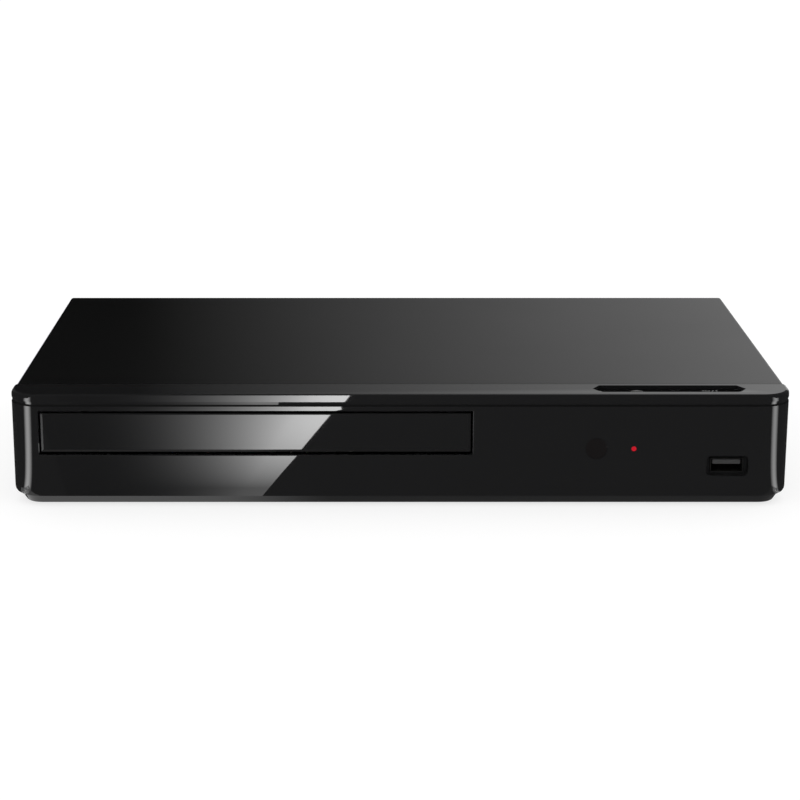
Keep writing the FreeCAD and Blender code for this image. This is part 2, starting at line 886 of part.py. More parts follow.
def front_panel():
    pad = box(groove_left_x - groove_pad_margin, groove_right_x + groove_pad_margin,
              panel_inner_y, groove_back_y + panel_wall, pad_under_z, strip_under_z)
    ledge = box(-chassis_half + panel_wall, chassis_half - panel_wall,
                panel_back_y, panel_back_y + ledge_depth, strip_under_z, cover_under_z)
    strip_foot = box(-half_width + panel_wall, half_width - panel_wall,
                     panel_back_y - panel_wall, panel_back_y, strip_under_z, cover_under_z)
    side_ledge_z = floor_under_z + chassis_flange_height + side_ledge_gap
    side_ledges = [
        box(side * cover_inner_half - (panel_wall if side > 0 else 0),
            side * cover_inner_half + (panel_wall if side < 0 else 0),
            panel_back_y - panel_wall, panel_back_y + ledge_depth, side_ledge_z, strip_under_z)
        for side in (-1, 1)
    ]
    usb_half_width = usb_recess_width / 2 + usb_collar
    usb_half_height = usb_recess_height / 2 + usb_collar
    usb_shelf = box(usb_x - usb_half_width, usb_x + usb_half_width,
                    panel_inner_y, panel_inner_y + usb_collar_depth,
                    usb_z - usb_half_height, usb_z + usb_half_height)
    led_tube = rod_along_y(led_x, led_z, panel_inner_y, panel_inner_y + panel_wall,
                           led_collar_radius + tube_wall)
    window_tube = rod_along_y(window_x, window_z, panel_inner_y, panel_inner_y + window_seat,
                              window_radius + tube_wall)
    button_posts = [post(x, button_middle_y, button_board_top_z, pad_under_z, post_radius)
                    for x in button_post_x]
    button_posts += [post(x, button_middle_y, pad_under_z, strip_under_z, post_radius)
                     for x in button_post_x]
    land_x = (open_close_right_x + power_left_x) / 2
    button_posts.append(box(land_x - land_rib / 2, land_x + land_rib / 2,
                            button_middle_y - 2 * post_radius, button_middle_y + 2 * post_radius,
                            button_board_top_z, pad_under_z))
    board_posts = [rod_along_y(x, z, panel_inner_y, front_board_y, post_radius)
                   for x, z in front_board_posts]
    hooks = [box(x - hook_width / 2, x + hook_width / 2, panel_inner_y + hook_inset,
                 panel_inner_y + hook_inset + hook_depth,
                 floor_under_z, floor_under_z + hook_height)
             for x in (-hook_spacing, 0, hook_spacing)]
    shell = carve(panel_skin(), panel_hollow())
    shell = join(shell, pad, ledge, strip_foot, *side_ledges, usb_shelf, led_tube, window_tube,
                 *button_posts, *board_posts, *hooks)
    cuts = [
        flared_hole(door_left_x - door_gap, door_right_x + door_gap,
                    door_bottom_z - door_bottom_gap, door_top_z + door_gap,
                    panel_wall, opening_chamfer),
        groove_cut(),
        rod_along_y(window_x, window_z, front_y, front_y + window_thickness,
                    window_radius + seat_gap),
        rod_along_y(window_x, window_z, front_y, front_y + 2 * panel_wall,
                    window_radius - window_seat),
        rod_along_y(led_x, led_z, front_y, front_y + 2 * panel_wall,
                    led_tip_radius + shaft_gap),
        rounded_box(usb_x - usb_recess_width / 2, usb_x + usb_recess_width / 2,
                    front_y, panel_inner_y,
                    usb_z - usb_recess_height / 2, usb_z + usb_recess_height / 2,
                    usb_recess_radius, BACK),
        box(usb_x - usb_shell_width / 2 - seat_gap, usb_x + usb_shell_width / 2 + seat_gap,
            panel_inner_y, front_board_y,
            usb_z - usb_shell_height / 2 - seat_gap, usb_z + usb_shell_height / 2 + seat_gap),
    ]
    for left, right in BUTTONS.values():
        cuts.append(box(left, right, button_front_y - button_gap, button_back_y + button_gap,
                        pad_under_z, top_z))
    for x in button_post_x:
        cuts.append(screw_hole(Vector(x, button_middle_y, button_board_z), DOWN))
    for x, z in front_board_posts:
        cuts.append(screw_hole(Vector(x, front_board_y + board, z), BACK))
    return carve(shell, cuts)


save("front_panel", front_panel())


# Sensor window, light pipe and USB socket behind the front face

save("sensor_window", rod_along_y(window_x, window_z, front_y, front_y + window_thickness,
                                  window_radius))
led_pipe_y = front_y + led_pipe_length
save("led_lens", join(
    rod_along_y(led_x, led_z, front_y, led_pipe_y, led_tip_radius),
    rod_along_y(led_x, led_z, front_y + 2 * panel_wall, led_pipe_y, led_collar_radius),
))


def usb_shell():
    outer = box(usb_x - usb_shell_width / 2, usb_x + usb_shell_width / 2, usb_mouth_y, front_board_y,
                usb_z - usb_shell_height / 2, usb_z + usb_shell_height / 2)
    inner = box(usb_x - usb_shell_width / 2 + usb_metal, usb_x + usb_shell_width / 2 - usb_metal,
                usb_mouth_y, front_board_y - usb_metal,
                usb_z - usb_shell_height / 2 + usb_metal, usb_z + usb_shell_height / 2 - usb_metal)
    return outer.cut(inner)


save("usb_shell", usb_shell())
usb_tongue_top = usb_z + usb_shell_height / 2 - usb_metal - usb_tongue_depth
usb_block_y = front_board_y - usb_metal - usb_block
save("usb_tongue", join(
    box(usb_x - usb_tongue_width / 2, usb_x + usb_tongue_width / 2,
        usb_mouth_y + usb_tongue_setback, usb_block_y,
        usb_tongue_top - usb_tongue_thickness, usb_tongue_top),
    box(usb_x - usb_shell_width / 2 + usb_metal, usb_x + usb_shell_width / 2 - usb_metal,
        usb_block_y, front_board_y - usb_metal,
        usb_z - usb_shell_height / 2 + usb_metal, usb_z + usb_shell_height / 2 - usb_metal),
))


# The two buttons in the groove, each on a tact switch

def button(left, right):
    cap = box(left + button_gap, right - button_gap, button_front_y, button_back_y,
              pad_under_z, top_z)
    cap = cap.cut(groove_slope(0, left, right))
    flange = box(left - button_flange, right + button_flange, panel_inner_y + fit_gap,
                 button_back_y + button_flange, flange_bottom_z, flange_top_z)
    middle_x = (left + right) / 2
    stem = box(middle_x - button_stem / 2, middle_x + button_stem / 2,
               button_middle_y - button_stem / 2, button_middle_y + button_stem / 2,
               stem_bottom_z, flange_bottom_z)
    return join(cap, flange, stem)


def switch_body(middle_x):
    body = box(middle_x - switch_size / 2, middle_x + switch_size / 2,
               button_middle_y - switch_size / 2, button_middle_y + switch_size / 2,
               button_board_top_z, switch_top_z)
    return body.cut(post(middle_x, button_middle_y, switch_top_z - plunger_depth - button_travel,
                         switch_top_z, plunger_radius + seat_gap))


button_middles = {name: (left + right) / 2 for name, (left, right) in BUTTONS.items()}
for name, (left, right) in BUTTONS.items():
    save(f"{name}_button", button(left, right))
    save(f"{name}_plunger", post(button_middles[name], button_middle_y,
                                 switch_top_z - plunger_depth + seat_gap, stem_bottom_z,
                                 plunger_radius))
save("button_switches", group([switch_body(x) for x in button_middles.values()]))


# Front board with its receiver and lamp, and the button board over it

def button_board():
    plate = box(button_board_left_x, button_board_right_x, front_y + button_board_front,
                front_y + button_board_back, button_board_z, button_board_top_z)
    return carve(plate, [screw_hole(Vector(x, button_middle_y, button_board_z), DOWN)
                         for x in button_post_x])


def front_board():
    plate = box(front_board_left_x, front_board_right_x, front_board_y, front_board_y + board,
                top_z - front_board_bottom_drop, front_board_top_z)
    return carve(plate, [screw_hole(Vector(x, front_board_y + board, z), BACK)
                         for x, z in front_board_posts])


save("button_board", button_board())
save("front_board", front_board())

receiver_front_y = front_board_y - receiver_depth + receiver_dome_radius
receiver_body = box(window_x - receiver_half_width, window_x + receiver_half_width,
                    receiver_front_y, front_board_y,
                    window_z - receiver_half_width - receiver_chin, window_z + receiver_half_width)
receiver_dome = Part.makeSphere(receiver_dome_radius, Vector(window_x, receiver_front_y, window_z))
save("ir_receiver", join(receiver_body, receiver_dome))

led_bulb_y = led_pipe_y + led_bulb_gap + led_bulb_radius
led_rim_y = front_board_y - led_rim_stand_off
save("standby_led", join(
    Part.makeSphere(led_bulb_radius, Vector(led_x, led_bulb_y, led_z)),
    rod_along_y(led_x, led_z, led_bulb_y, front_board_y, led_bulb_radius),
    rod_along_y(led_x, led_z, led_rim_y - led_rim_thickness, led_rim_y, led_bulb_radius + led_rim),
))


# Steel case: chassis pan, rear panel and the U-shaped cover

cover_side_screw_y = [panel_back_y + side_screw_front_inset, rear_y - side_screw_rear_inset]
cover_side_screw_z = floor_under_z + chassis_flange_height - side_screw_drop
lip_screw_x = [-lip_screw_spacing, 0.0, lip_screw_spacing]
lip_screw_z = cover_under_z - cover_rear_lip / 2
flange_screw_y = rear_panel_inner_y - rear_flange_depth / 2

side_screw_seats = [(Vector(side * cover_half, y, cover_side_screw_z), Vector(side, 0, 0))
                    for side in (-1, 1) for y in cover_side_screw_y]
lip_screw_seats = [(Vector(x, cover_rear_y, lip_screw_z), BACK) for x in lip_screw_x]
flange_screw_seats = [(Vector(x, flange_screw_y, floor_z + sheet), UP) for x in flange_screw_x]

main_board_screw_seats = [
    Vector(main_board_left_x + standoff_inset, main_board_front_y + standoff_inset, board_top_z),
    Vector(main_board_right_x - standoff_inset, main_board_front_y + standoff_inset, board_top_z),
    Vector(main_board_left_x + standoff_inset, rear_panel_inner_y - main_left_screw_inset,
           board_top_z),
    Vector(main_board_right_x - standoff_inset, rear_panel_inner_y - main_right_screw_inset,
           board_top_z),
]
power_board_screw_seats = [
    Vector(x, y, board_top_z)
    for x in (power_board_left_x + standoff_inset, power_board_right_x - standoff_inset)
    for y in (power_board_front_y + standoff_inset, rear_panel_inner_y - power_screw_inset)
]
board_screw_seats = main_board_screw_seats + power_board_screw_seats
damper_places = [(drive_x + side * ear_x, y) for side in (-1, 1) for y in (ear_front_y, ear_rear_y)]
damper_bottom_z = frame_bottom_z - damper_lip
damper_top_z = frame_floor_z + damper_lip
damper_screw_length = damper_top_z - floor_under_z


def slot_row(x_range, y0, y1, z0, z1, pitch, width):
    first, last = x_range
    count = int((last - first) / pitch)
    return [box(first + i * pitch, first + i * pitch + width, y0, y1, z0, z1) for i in range(count)]


def bottom_chassis():
    floor = box(-chassis_half, chassis_half, panel_back_y + fit_gap, rear_panel_inner_y,
                floor_under_z, floor_z)
    tongue_half = half_width - plinth_side_inset - plinth_side_slope - plinth_wall - fit_gap
    tongue_front = front_y + plinth_front_slope + plinth_wall + tongue_gap
    tongue = plate_z([
        (-tongue_half, panel_back_y + fit_gap), (tongue_half, panel_back_y + fit_gap),
        (tongue_half, tongue_front + plinth_corner_radius),
        (tongue_half - plinth_corner_radius, tongue_front),
        (-tongue_half + plinth_corner_radius, tongue_front),
        (-tongue_half, tongue_front + plinth_corner_radius),
    ], floor_under_z, floor_z)
    flanges = [box(x, x + sheet, panel_back_y + ledge_depth + fit_gap, rear_panel_inner_y,
                   floor_under_z, floor_under_z + chassis_flange_height)
               for x in (-chassis_half, chassis_half - sheet)]
    bosses = [post(seat.x, seat.y, floor_z, board_z, standoff_radius)
              for seat in board_screw_seats]
    bosses += [post(x, y, floor_z, damper_bottom_z, damper_boss_radius) for x, y in damper_places]
    pan = join(floor, tongue, *flanges, *bosses)
    vents = []
    for x_range, starts in ((main_vent_x, main_vent_y), (power_vent_x, power_vent_y)):
        for y in starts:
            vents += slot_row(x_range, y, y + floor_vent_length, floor_under_z, floor_z,
                              floor_vent_pitch, floor_vent_width)
    hook_y = panel_inner_y + hook_inset
    slots = [box(x - hook_width / 2 - fit_gap, x + hook_width / 2 + fit_gap, hook_y - fit_gap,
                 hook_y + hook_depth + fit_gap, floor_under_z, floor_z)
             for x in (-hook_spacing, 0, hook_spacing)]
    holes = [screw_hole(seat, UP, board + board_height + sheet) for seat in board_screw_seats]
    holes += [screw_hole(Vector(x, y, damper_top_z), UP, damper_screw_length)
              for x, y in damper_places]
    holes += [screw_hole(seat, way) for seat, way in side_screw_seats + flange_screw_seats]
    return carve(pan, vents + slots + holes)


def rear_panel():
    wall = box(-chassis_half + sheet + fit_gap, chassis_half - sheet - fit_gap, rear_panel_inner_y,
               rear_panel_y, floor_z, cover_under_z)
    foot = box(-chassis_half + 2 * sheet, chassis_half - 2 * sheet,
               rear_panel_inner_y - rear_flange_depth, rear_panel_inner_y, floor_z, floor_z + sheet)
    top = box(-chassis_half + 2 * sheet, chassis_half - 2 * sheet,
              rear_panel_inner_y - rear_flange_depth, rear_panel_inner_y,
              cover_under_z - sheet, cover_under_z)
    sockets = [
        (hdmi_x, hdmi_width, hdmi_height),
        (lan_x, lan_width, lan_height),
        (optical_x, optical_size, optical_size),
        (inlet_x, inlet_width, inlet_height),
    ]
    cutouts = [box(x - width / 2 - fit_gap, x + width / 2 + fit_gap, rear_panel_inner_y, rear_panel_y,
                   board_top_z, board_top_z + height + fit_gap) for x, width, height in sockets]
    vents = slot_row(rear_vent_x, rear_panel_inner_y, rear_panel_y, *rear_vent_z,
                     rear_vent_pitch, rear_vent_width)
    holes = [screw_hole(seat, way) for seat, way in lip_screw_seats + flange_screw_seats]
    return carve(join(wall, foot, top), cutouts + vents + holes)


def top_cover():
    bottom_z = floor_under_z + cover_side_rise
    outer = box(-cover_half, cover_half, cover_front_y, cover_rear_y, bottom_z, top_z)
    top_edges = [e for e in edges_along(outer, BACK) if e.CenterOfMass.z > cover_under_z]
    outer = outer.makeFillet(cover_bend_radius, top_edges)
    inner = box(-cover_inner_half, cover_inner_half, cover_front_y, cover_rear_y - sheet,
                bottom_z, cover_under_z)
    top_edges = [e for e in edges_along(inner, BACK) if e.CenterOfMass.z > cover_under_z - sheet]
    inner = inner.makeFillet(cover_bend_radius - sheet, top_edges)
    below_lip = box(-cover_inner_half, cover_inner_half, cover_rear_y - sheet, cover_rear_y,
                    bottom_z, cover_under_z - cover_rear_lip)
    holes = [screw_hole(seat, way) for seat, way in side_screw_seats + lip_screw_seats]
    return carve(outer, [inner, below_lip] + holes)


save("bottom_chassis", bottom_chassis())
save("rear_panel", rear_panel())
save("top_cover", top_cover())


def foot(x, y):
    body = post(x, y, 0, foot_height, foot_radius)
    rim = [e for e in body.Edges if abs(e.CenterOfMass.z) < 0.01 and e.Curve.TypeId == "Part::GeomCircle"]
    return body.makeChamfer(foot_chamfer, rim)


save("feet", group([
    foot(side * (half_width - foot_side_inset), y)
    for side in (-1, 1)
    for y in (front_y + foot_front_inset, rear_y - foot_rear_inset)
]))

case_screws = [screw(seat, way, low_head_radius, low_head_height) for seat, way in side_screw_seats]
case_screws += [screw(seat, way) for seat, way in lip_screw_seats]
case_screws += [screw(seat, way, length=flange_screw_length) for seat, way in flange_screw_seats]
save("case_screws", group(case_screws))


# Main board

def holed_board(x0, x1, y0, y1, seats):
    plate = box(x0, x1, y0, y1, board_z, board_top_z)
    return carve(plate, [screw_hole(seat, UP) for seat in seats])


save("main_board", holed_board(main_board_left_x, main_board_right_x, main_board_front_y,
                               main_board_rear_y, main_board_screw_seats))
save("power_board", holed_board(power_board_left_x, power_board_right_x, power_board_front_y,
                                power_board_rear_y, power_board_screw_seats))
board_screws = [screw(seat, UP) for seat in board_screw_seats]
board_screws += [screw(Vector(x, button_middle_y, button_board_z), DOWN) for x in button_post_x]
board_screws += [screw(Vector(x, front_board_y + board, z), BACK) for x, z in front_board_posts]
save("board_screws", group(board_screws))

chips = [box(processor_x - processor_size / 2, processor_x + processor_size / 2,
             processor_y - processor_size / 2, processor_y + processor_size / 2,
             board_top_z, board_top_z + processor_height)]
memory_y = processor_y + memory_distance
for x in (processor_x - memory_width, processor_x + memory_width):
    chips.append(box(x - memory_width / 2, x + memory_width / 2, memory_y,
                     memory_y + memory_length, board_top_z, board_top_z + memory_height))
save("board_chips", group(chips))


def heat_sink():
    x0 = processor_x - sink_size / 2
    y0 = processor_y - sink_size / 2
    bottom = board_top_z + processor_height
    base = box(x0, x0 + sink_size, y0, y0 + sink_size, bottom, bottom + sink_base)
    pitch = (sink_size - sink_fin) / (sink_fins - 1)
    fins = [box(x0 + i * pitch, x0 + i * pitch + sink_fin, y0, y0 + sink_size, bottom + sink_base,
                bottom + sink_height) for i in range(sink_fins)]
    return join(base, *fins)


save("heat_sink", heat_sink())


def can(x, y, radius, height):
    top = board_top_z + height
    body = post(x, y, board_top_z, top, radius)
    rim = [e for e in body.Edges if abs(e.CenterOfMass.z - top) < 0.01]
    return body.makeChamfer(can_chamfer, rim[:1])


small_cans = [(x, main_board_front_y + setback) for x, setback in small_can_places]
save("main_board_capacitors", group([can(x, y, small_can_radius, small_can_height)
                                     for x, y in small_cans]))


# Rear sockets, all standing on the boards

socket_face_y = rear_panel_y + socket_stand_out


def hdmi_outline(wall):
    """Socket outline, square above and bevelled below, `wall` inside the shell's outside."""
    left = hdmi_x - hdmi_width / 2 + wall
    right = hdmi_x + hdmi_width / 2 - wall
    bottom = board_top_z + wall
    top = board_top_z + hdmi_height - wall
    return [(left, top), (left, bottom + hdmi_bevel), (left + hdmi_bevel, bottom),
            (right - hdmi_bevel, bottom), (right, bottom + hdmi_bevel), (right, top)]


def hdmi_socket():
    back = socket_face_y - hdmi_length
    shell = plate_y(hdmi_outline(0), back, socket_face_y)
    shell = shell.cut(plate_y(hdmi_outline(socket_wall), back + socket_back, socket_face_y))
    tongue_half = hdmi_width / 2 - hdmi_tongue_inset
    tongue_z = board_top_z + hdmi_tongue_rise
    tongue = box(hdmi_x - tongue_half, hdmi_x + tongue_half, back + socket_back,
                 socket_face_y - hdmi_tongue_setback, tongue_z, tongue_z + hdmi_tongue_thickness)
    return group([shell, tongue])


def lan_socket():
    half = lan_width / 2
    block = box(lan_x - half, lan_x + half, socket_face_y - lan_length, socket_face_y,
                board_top_z, board_top_z + lan_height)
    hole_y = socket_face_y - lan_plug_depth
    plug_z = board_top_z + lan_plug_rise
    plug = box(lan_x - lan_plug_width / 2, lan_x + lan_plug_width / 2, hole_y, socket_face_y,
               plug_z, plug_z + lan_plug_height)
    latch = box(lan_x - lan_latch_width / 2, lan_x + lan_latch_width / 2, hole_y, socket_face_y,
                plug_z - lan_latch_height, plug_z)
    return carve(block, [plug, latch])


def optical_socket():
    half = optical_size / 2
    middle = board_top_z + half
    block = box(optical_x - half, optical_x + half, socket_face_y - optical_length, socket_face_y,
                board_top_z, board_top_z + optical_size)
    hole_y = socket_face_y - optical_plug_depth
    reach = optical_plug_size / 2
    port = box(optical_x - reach, optical_x + reach, hole_y, socket_face_y,
               middle - reach, middle + reach)
    upper_edges = [e for e in edges_along(port, BACK) if e.CenterOfMass.z > middle]
    port = port.makeChamfer(optical_plug_bevel, upper_edges)
    lens = rod_along_y(optical_x, middle, hole_y, hole_y + optical_lens_length, optical_lens_radius)
    return join(block.cut(port), lens)


def power_inlet():
    top = board_top_z + inlet_height
    middle = (board_top_z + top) / 2
    block = rounded_box(inlet_x - inlet_width / 2, inlet_x + inlet_width / 2,
                        rear_y - inlet_length, rear_y, board_top_z, top, inlet_corner_radius, BACK)
    hole_y = rear_y - inlet_hole_depth
    hollows = []
    pins = []
    for side in (-1, 1):
        x = inlet_x + side * inlet_pin_spacing / 2
        hollows.append(rod_along_y(x, middle, hole_y, rear_y, inlet_hole_radius))
        pins.append(rod_along_y(x, middle, hole_y, rear_y - inlet_pin_setback, inlet_pin_radius))
    hollows.append(box(inlet_x - inlet_pin_spacing / 2, inlet_x + inlet_pin_spacing / 2,
                       hole_y, rear_y, middle - inlet_waist / 2, middle + inlet_waist / 2))
    return group([carve(block, hollows)] + pins)


save("hdmi_socket", hdmi_socket())
save("lan_socket", lan_socket())
save("optical_socket", optical_socket())
save("power_inlet", power_inlet())


# Power supply

def transformer():
    core_z = board_top_z + core_lift
    limb_z = core_z + (core_height - centre_limb_height) / 2
    front = transformer_y - core_depth / 2
    back = transformer_y + core_depth / 2
    limb_left = transformer_x - centre_limb_width / 2
    limb_right = transformer_x + centre_limb_width / 2
    yokes = [box(transformer_x - core_width / 2, transformer_x + core_width / 2, y, y + core_limb,
                 core_z, core_z + core_height) for y in (front, back - core_limb)]
    limb = box(limb_left, limb_right, front, back, limb_z, limb_z + centre_limb_height)
    bobbin_front = front + core_limb + coil_gap
    bobbin_back = back - core_limb - coil_gap
    bobbin = box(transformer_x - bobbin_width / 2, transformer_x + bobbin_width / 2,
                 bobbin_front, bobbin_back, board_top_z, board_top_z + bobbin_height)
    bobbin = bobbin.cut(box(limb_left, limb_right, bobbin_front, bobbin_back,
                            limb_z, limb_z + centre_limb_height))
    return group([join(*yokes, limb), bobbin])


def switching_heat_sink():
    fin_x = switch_sink_x + switch_sink_plate
    plate = box(switch_sink_x, fin_x, switch_sink_y, switch_sink_y + switch_sink_length,
                board_top_z, board_top_z + switch_sink_height)
    count = int((switch_sink_length - switch_fin) / switch_fin_pitch) + 1
    fins = []
    for i in range(count):
        y = switch_sink_y + i * switch_fin_pitch
        fins.append(box(fin_x, fin_x + switch_fin_length, y, y + switch_fin,
                        board_top_z + switch_fin_lift, board_top_z + switch_sink_height))
    return join(plate, *fins)


save("transformer", transformer())
save("mains_capacitor", can(mains_can_x, mains_can_y, mains_can_radius, mains_can_height))
output_cans = [(x, power_board_front_y + setback) for x, setback in output_can_places]
save("output_capacitors", group([can(x, y, output_can_radius, output_can_height)
                                 for x, y in output_cans]))
save("switching_heat_sink", switching_heat_sink())


# Cables inside the case and the connectors on the boards

def ribbon_along_y(path, thickness, x0, x1):
    lower = [(y, z) for y, z in path]
    upper = [(y, z + thickness) for y, z in reversed(path)]
    return plate_x(lower + upper, x0, x1)


def ribbon_along_x(path, thickness, y0, y1):
    lower = [(x, z) for x, z in path]
    upper = [(x, z + thickness) for x, z in reversed(path)]
    return plate_y(lower + upper, y0, y1)


front_connector_y = front_board_y + board
front_connector_back_y = front_connector_y + connector_depth
front_connector = box(front_cable_x[0] - connector_margin, front_cable_x[1] + connector_margin,
                      front_connector_y, front_connector_back_y,
                      front_connector_z, front_connector_z + connector_height)
main_front_connector = box(front_cable_x[0] - connector_margin, front_cable_x[1] + connector_margin,
                           main_board_front_y, main_board_front_y + connector_depth,
                           board_top_z, board_top_z + connector_height)
main_drive_connector = box(main_board_left_x, main_board_left_x + connector_depth,
                           drive_cable_y[0] - connector_margin, drive_cable_y[1] + connector_margin,
                           board_top_z, board_top_z + connector_height)
drive_connector = box(drive_board_right_x - connector_depth, drive_board_right_x,
                      drive_cable_y[0] - connector_margin, drive_cable_y[1] + connector_margin,
                      drive_board_top_z, drive_board_top_z + connector_height)
wire_x = (main_board_right_x - wire_housing_inset, power_board_left_x + wire_housing_inset)
wire_y = [wire_first_y + wire_pitch * i for i in range(wire_count)]
wire_foot_z = board_top_z + wire_housing_height
wire_connectors = [box(x - wire_housing_width / 2, x + wire_housing_width / 2,
                       wire_y[0] - connector_margin, wire_y[-1] + connector_margin,
                       board_top_z, wire_foot_z) for x in wire_x]
save("cable_connectors", group([front_connector, main_front_connector, main_drive_connector,
                                drive_connector] + wire_connectors))

front_cable_low_z = front_connector_z - front_cable_sag
front_path = [
    (front_connector_back_y, front_connector_z + connector_slot),
    (front_connector_back_y + connector_depth, front_connector_z + ribbon_lift),
    (front_connector_back_y + connector_depth + cable_bend, front_cable_low_z),
    (main_board_front_y - cable_bend, front_cable_low_z),
    (main_board_front_y - connector_depth, board_top_z + ribbon_lift),
    (main_board_front_y, board_top_z + connector_slot),
]
save("front_cable", ribbon_along_y(front_path, ribbon, *front_cable_x))
drive_path = [
    (drive_board_right_x, drive_board_top_z + connector_slot),
    (drive_board_right_x + cable_bend, drive_board_top_z + ribbon_lift),
    (main_board_left_x - cable_bend, board_top_z + ribbon_lift),
    (main_board_left_x, board_top_z + connector_slot),
]
save("drive_cable", ribbon_along_x(drive_path, ribbon, *drive_cable_y))

arch_radius = (wire_x[1] - wire_x[0]) / 2


def arched_wire(y):
    spring_z = wire_foot_z + wire_rise
    path = Part.Wire([
        Part.LineSegment(Vector(wire_x[0], y, wire_foot_z),
                         Vector(wire_x[0], y, spring_z)).toShape(),
        Part.Arc(Vector(wire_x[0], y, spring_z),
                 Vector(wire_x[0] + arch_radius, y, spring_z + arch_radius),
                 Vector(wire_x[1], y, spring_z)).toShape(),
        Part.LineSegment(Vector(wire_x[1], y, spring_z),
                         Vector(wire_x[1], y, wire_foot_z)).toShape(),
    ])
    circle = Part.Wire([Part.makeCircle(wire_radius, path.Vertexes[0].Point, UP)])
    return path.makePipeShell([circle], True, True)


save("power_cable", group([arched_wire(y) for y in wire_y]))


# Drive frame: a plastic deck on rubber dampers that carries the gears and guides the tray.

traverse_pivot_x = [drive_x + side * traverse_half_width for side in (-1, 1)]
bridge_screw_seats = [
    Vector(drive_x + side * bridge_screw_x, disc_y + end * bridge_screw_spacing / 2,
           bridge_z + bridge_sheet)
    for side in (-1, 1) for end in (-1, 1)
]
rail_top_z = tray_bottom_z - slide_gap
tab_bottom_z = tray_bottom_z + tray_flange_thickness + slide_gap
guide_ends = [drive_x + x for x in slider_guide_places]


def pivot_ears():
    ears = []
    for side, x in zip((-1, 1), traverse_pivot_x):
        inner = x + side * (frame_window_half - traverse_half_width + ear_gap)
        outer = inner + side * pivot_ear
        ear = box(min(inner, outer), max(inner, outer), pivot_y - bearing_half_length,
                  pivot_y + bearing_half_length, frame_bottom_z, pivot_z + bearing_rise)
        ears.append(ear)
    return ears


def slider_guides():
    guides = []
    foot_front = slider_front_y - slider_foot
    top = frame_floor_z + fit_gap + slider_foot_thickness + fit_gap
    for x in guide_ends:
        x1 = x + slider_guide_width
        guides.append(box(x, x1, foot_front - fit_gap - slider_guide, foot_front - fit_gap,
                          frame_floor_z, top + slider_guide))
        guides.append(box(x, x1, foot_front - fit_gap - slider_guide, foot_front + slider_guide_lip,
                          top, top + slider_guide))
    return guides


def drive_frame():
    x0 = drive_x - frame_half_width
    x1 = drive_x + frame_half_width
    base = box(x0, x1, frame_front_y, frame_rear_y, frame_bottom_z, frame_floor_z)
    bridge_front = disc_y - bridge_screw_spacing / 2 - bridge_pier
    bridge_back = disc_y + bridge_screw_spacing / 2 + bridge_pier
    side_profile = [
        (frame_front_y, frame_bottom_z), (frame_rear_y, frame_bottom_z),
        (frame_rear_y, frame_wall_top_z), (bridge_back, frame_wall_top_z),
        (bridge_back - bridge_pier_slope, bridge_z), (bridge_front + bridge_pier_slope, bridge_z),
        (bridge_front, frame_wall_top_z), (frame_front_y, frame_wall_top_z),
    ]
    solids = [base]
    for left in (x0, x1 - frame_wall):
        solids.append(plate_x(side_profile, left, left + frame_wall))
    solids.append(box(x0, x1, frame_rear_y - frame_wall, frame_rear_y, frame_bottom_z,
                      frame_wall_top_z))
    inner_left = x0 + frame_wall
    inner_right = x1 - frame_wall
    solids.append(box(inner_left, inner_left + rail_width, frame_front_y, frame_rear_y - frame_wall,
                      rail_top_z - rail_thickness, rail_top_z))
    solids.append(box(inner_right - rail_width, inner_right, frame_front_y, frame_rear_y - frame_wall,
                      rail_top_z - rail_thickness, rail_top_z))
    tab_places = [frame_front_y + inset for inset in rail_tab_front_insets]
    tab_places += [frame_rear_y - inset for inset in rail_tab_rear_insets]
    for y in tab_places:
        for left in (inner_left, inner_right - rail_tab_width):
            solids.append(box(left, left + rail_tab_width, y, y + rail_tab_length,
                              tab_bottom_z, tab_bottom_z + rail_thickness))
    for seat in bridge_screw_seats:
        solids.append(post(seat.x, seat.y, frame_bottom_z, bridge_z, bridge_post_radius))
    for x, y in damper_places:
        solids.append(post(x, y, frame_bottom_z, frame_floor_z, ear_radius))
    solids += pivot_ears() + slider_guides()
    for x in (tray_gear_x, pulley_gear_x):
        solids.append(post(x, gear_y, frame_floor_z, gear_z + gear_width, axle_radius))
    boss_radius = axle_radius + axle_boss_wall
    solids.append(post(tray_gear_x, gear_y, frame_floor_z, gear_z - fit_gap, boss_radius))
    solids.append(post(pulley_gear_x, gear_y, frame_floor_z, pulley_z - fit_gap, boss_radius))
    solids.append(post(loading_motor_x, gear_y, frame_bottom_z, frame_floor_z + motor_collar_height,
                       motor_radius + fit_gap + motor_collar))
    deck = join(*solids)
    cuts = [
        box(drive_x - frame_window_half, drive_x + frame_window_half, frame_window_front_y,
            frame_window_rear_y, frame_bottom_z, frame_floor_z),
        post(loading_motor_x, gear_y, frame_bottom_z, frame_floor_z + motor_collar_height,
             motor_radius + fit_gap),
        box(inner_right, x1, drive_cable_y[0] - cable_notch, drive_cable_y[1] + cable_notch,
            frame_floor_z + cable_notch, frame_floor_z + cable_notch + cable_notch_height),
        rod_along_x(pivot_y, pivot_z, x0 + frame_wall, x1 - frame_wall, pivot_radius + shaft_gap),
    ]
    for x, y in damper_places:
        cuts.append(post(x, y, frame_bottom_z, frame_floor_z, damper_neck_radius + seat_gap))
    for seat in bridge_screw_seats:
        cuts.append(screw_hole(seat, UP, screw_length + bridge_sheet))
    return carve(deck, cuts)


save("drive_frame", drive_frame())


def damper(x, y):
    body = join(
        post(x, y, damper_bottom_z, frame_bottom_z, damper_radius),
        post(x, y, frame_bottom_z, frame_floor_z, damper_neck_radius),
        post(x, y, frame_floor_z, damper_top_z, damper_radius),
    )
    return body.cut(post(x, y, damper_bottom_z, damper_top_z, screw_radius + screw_gap))


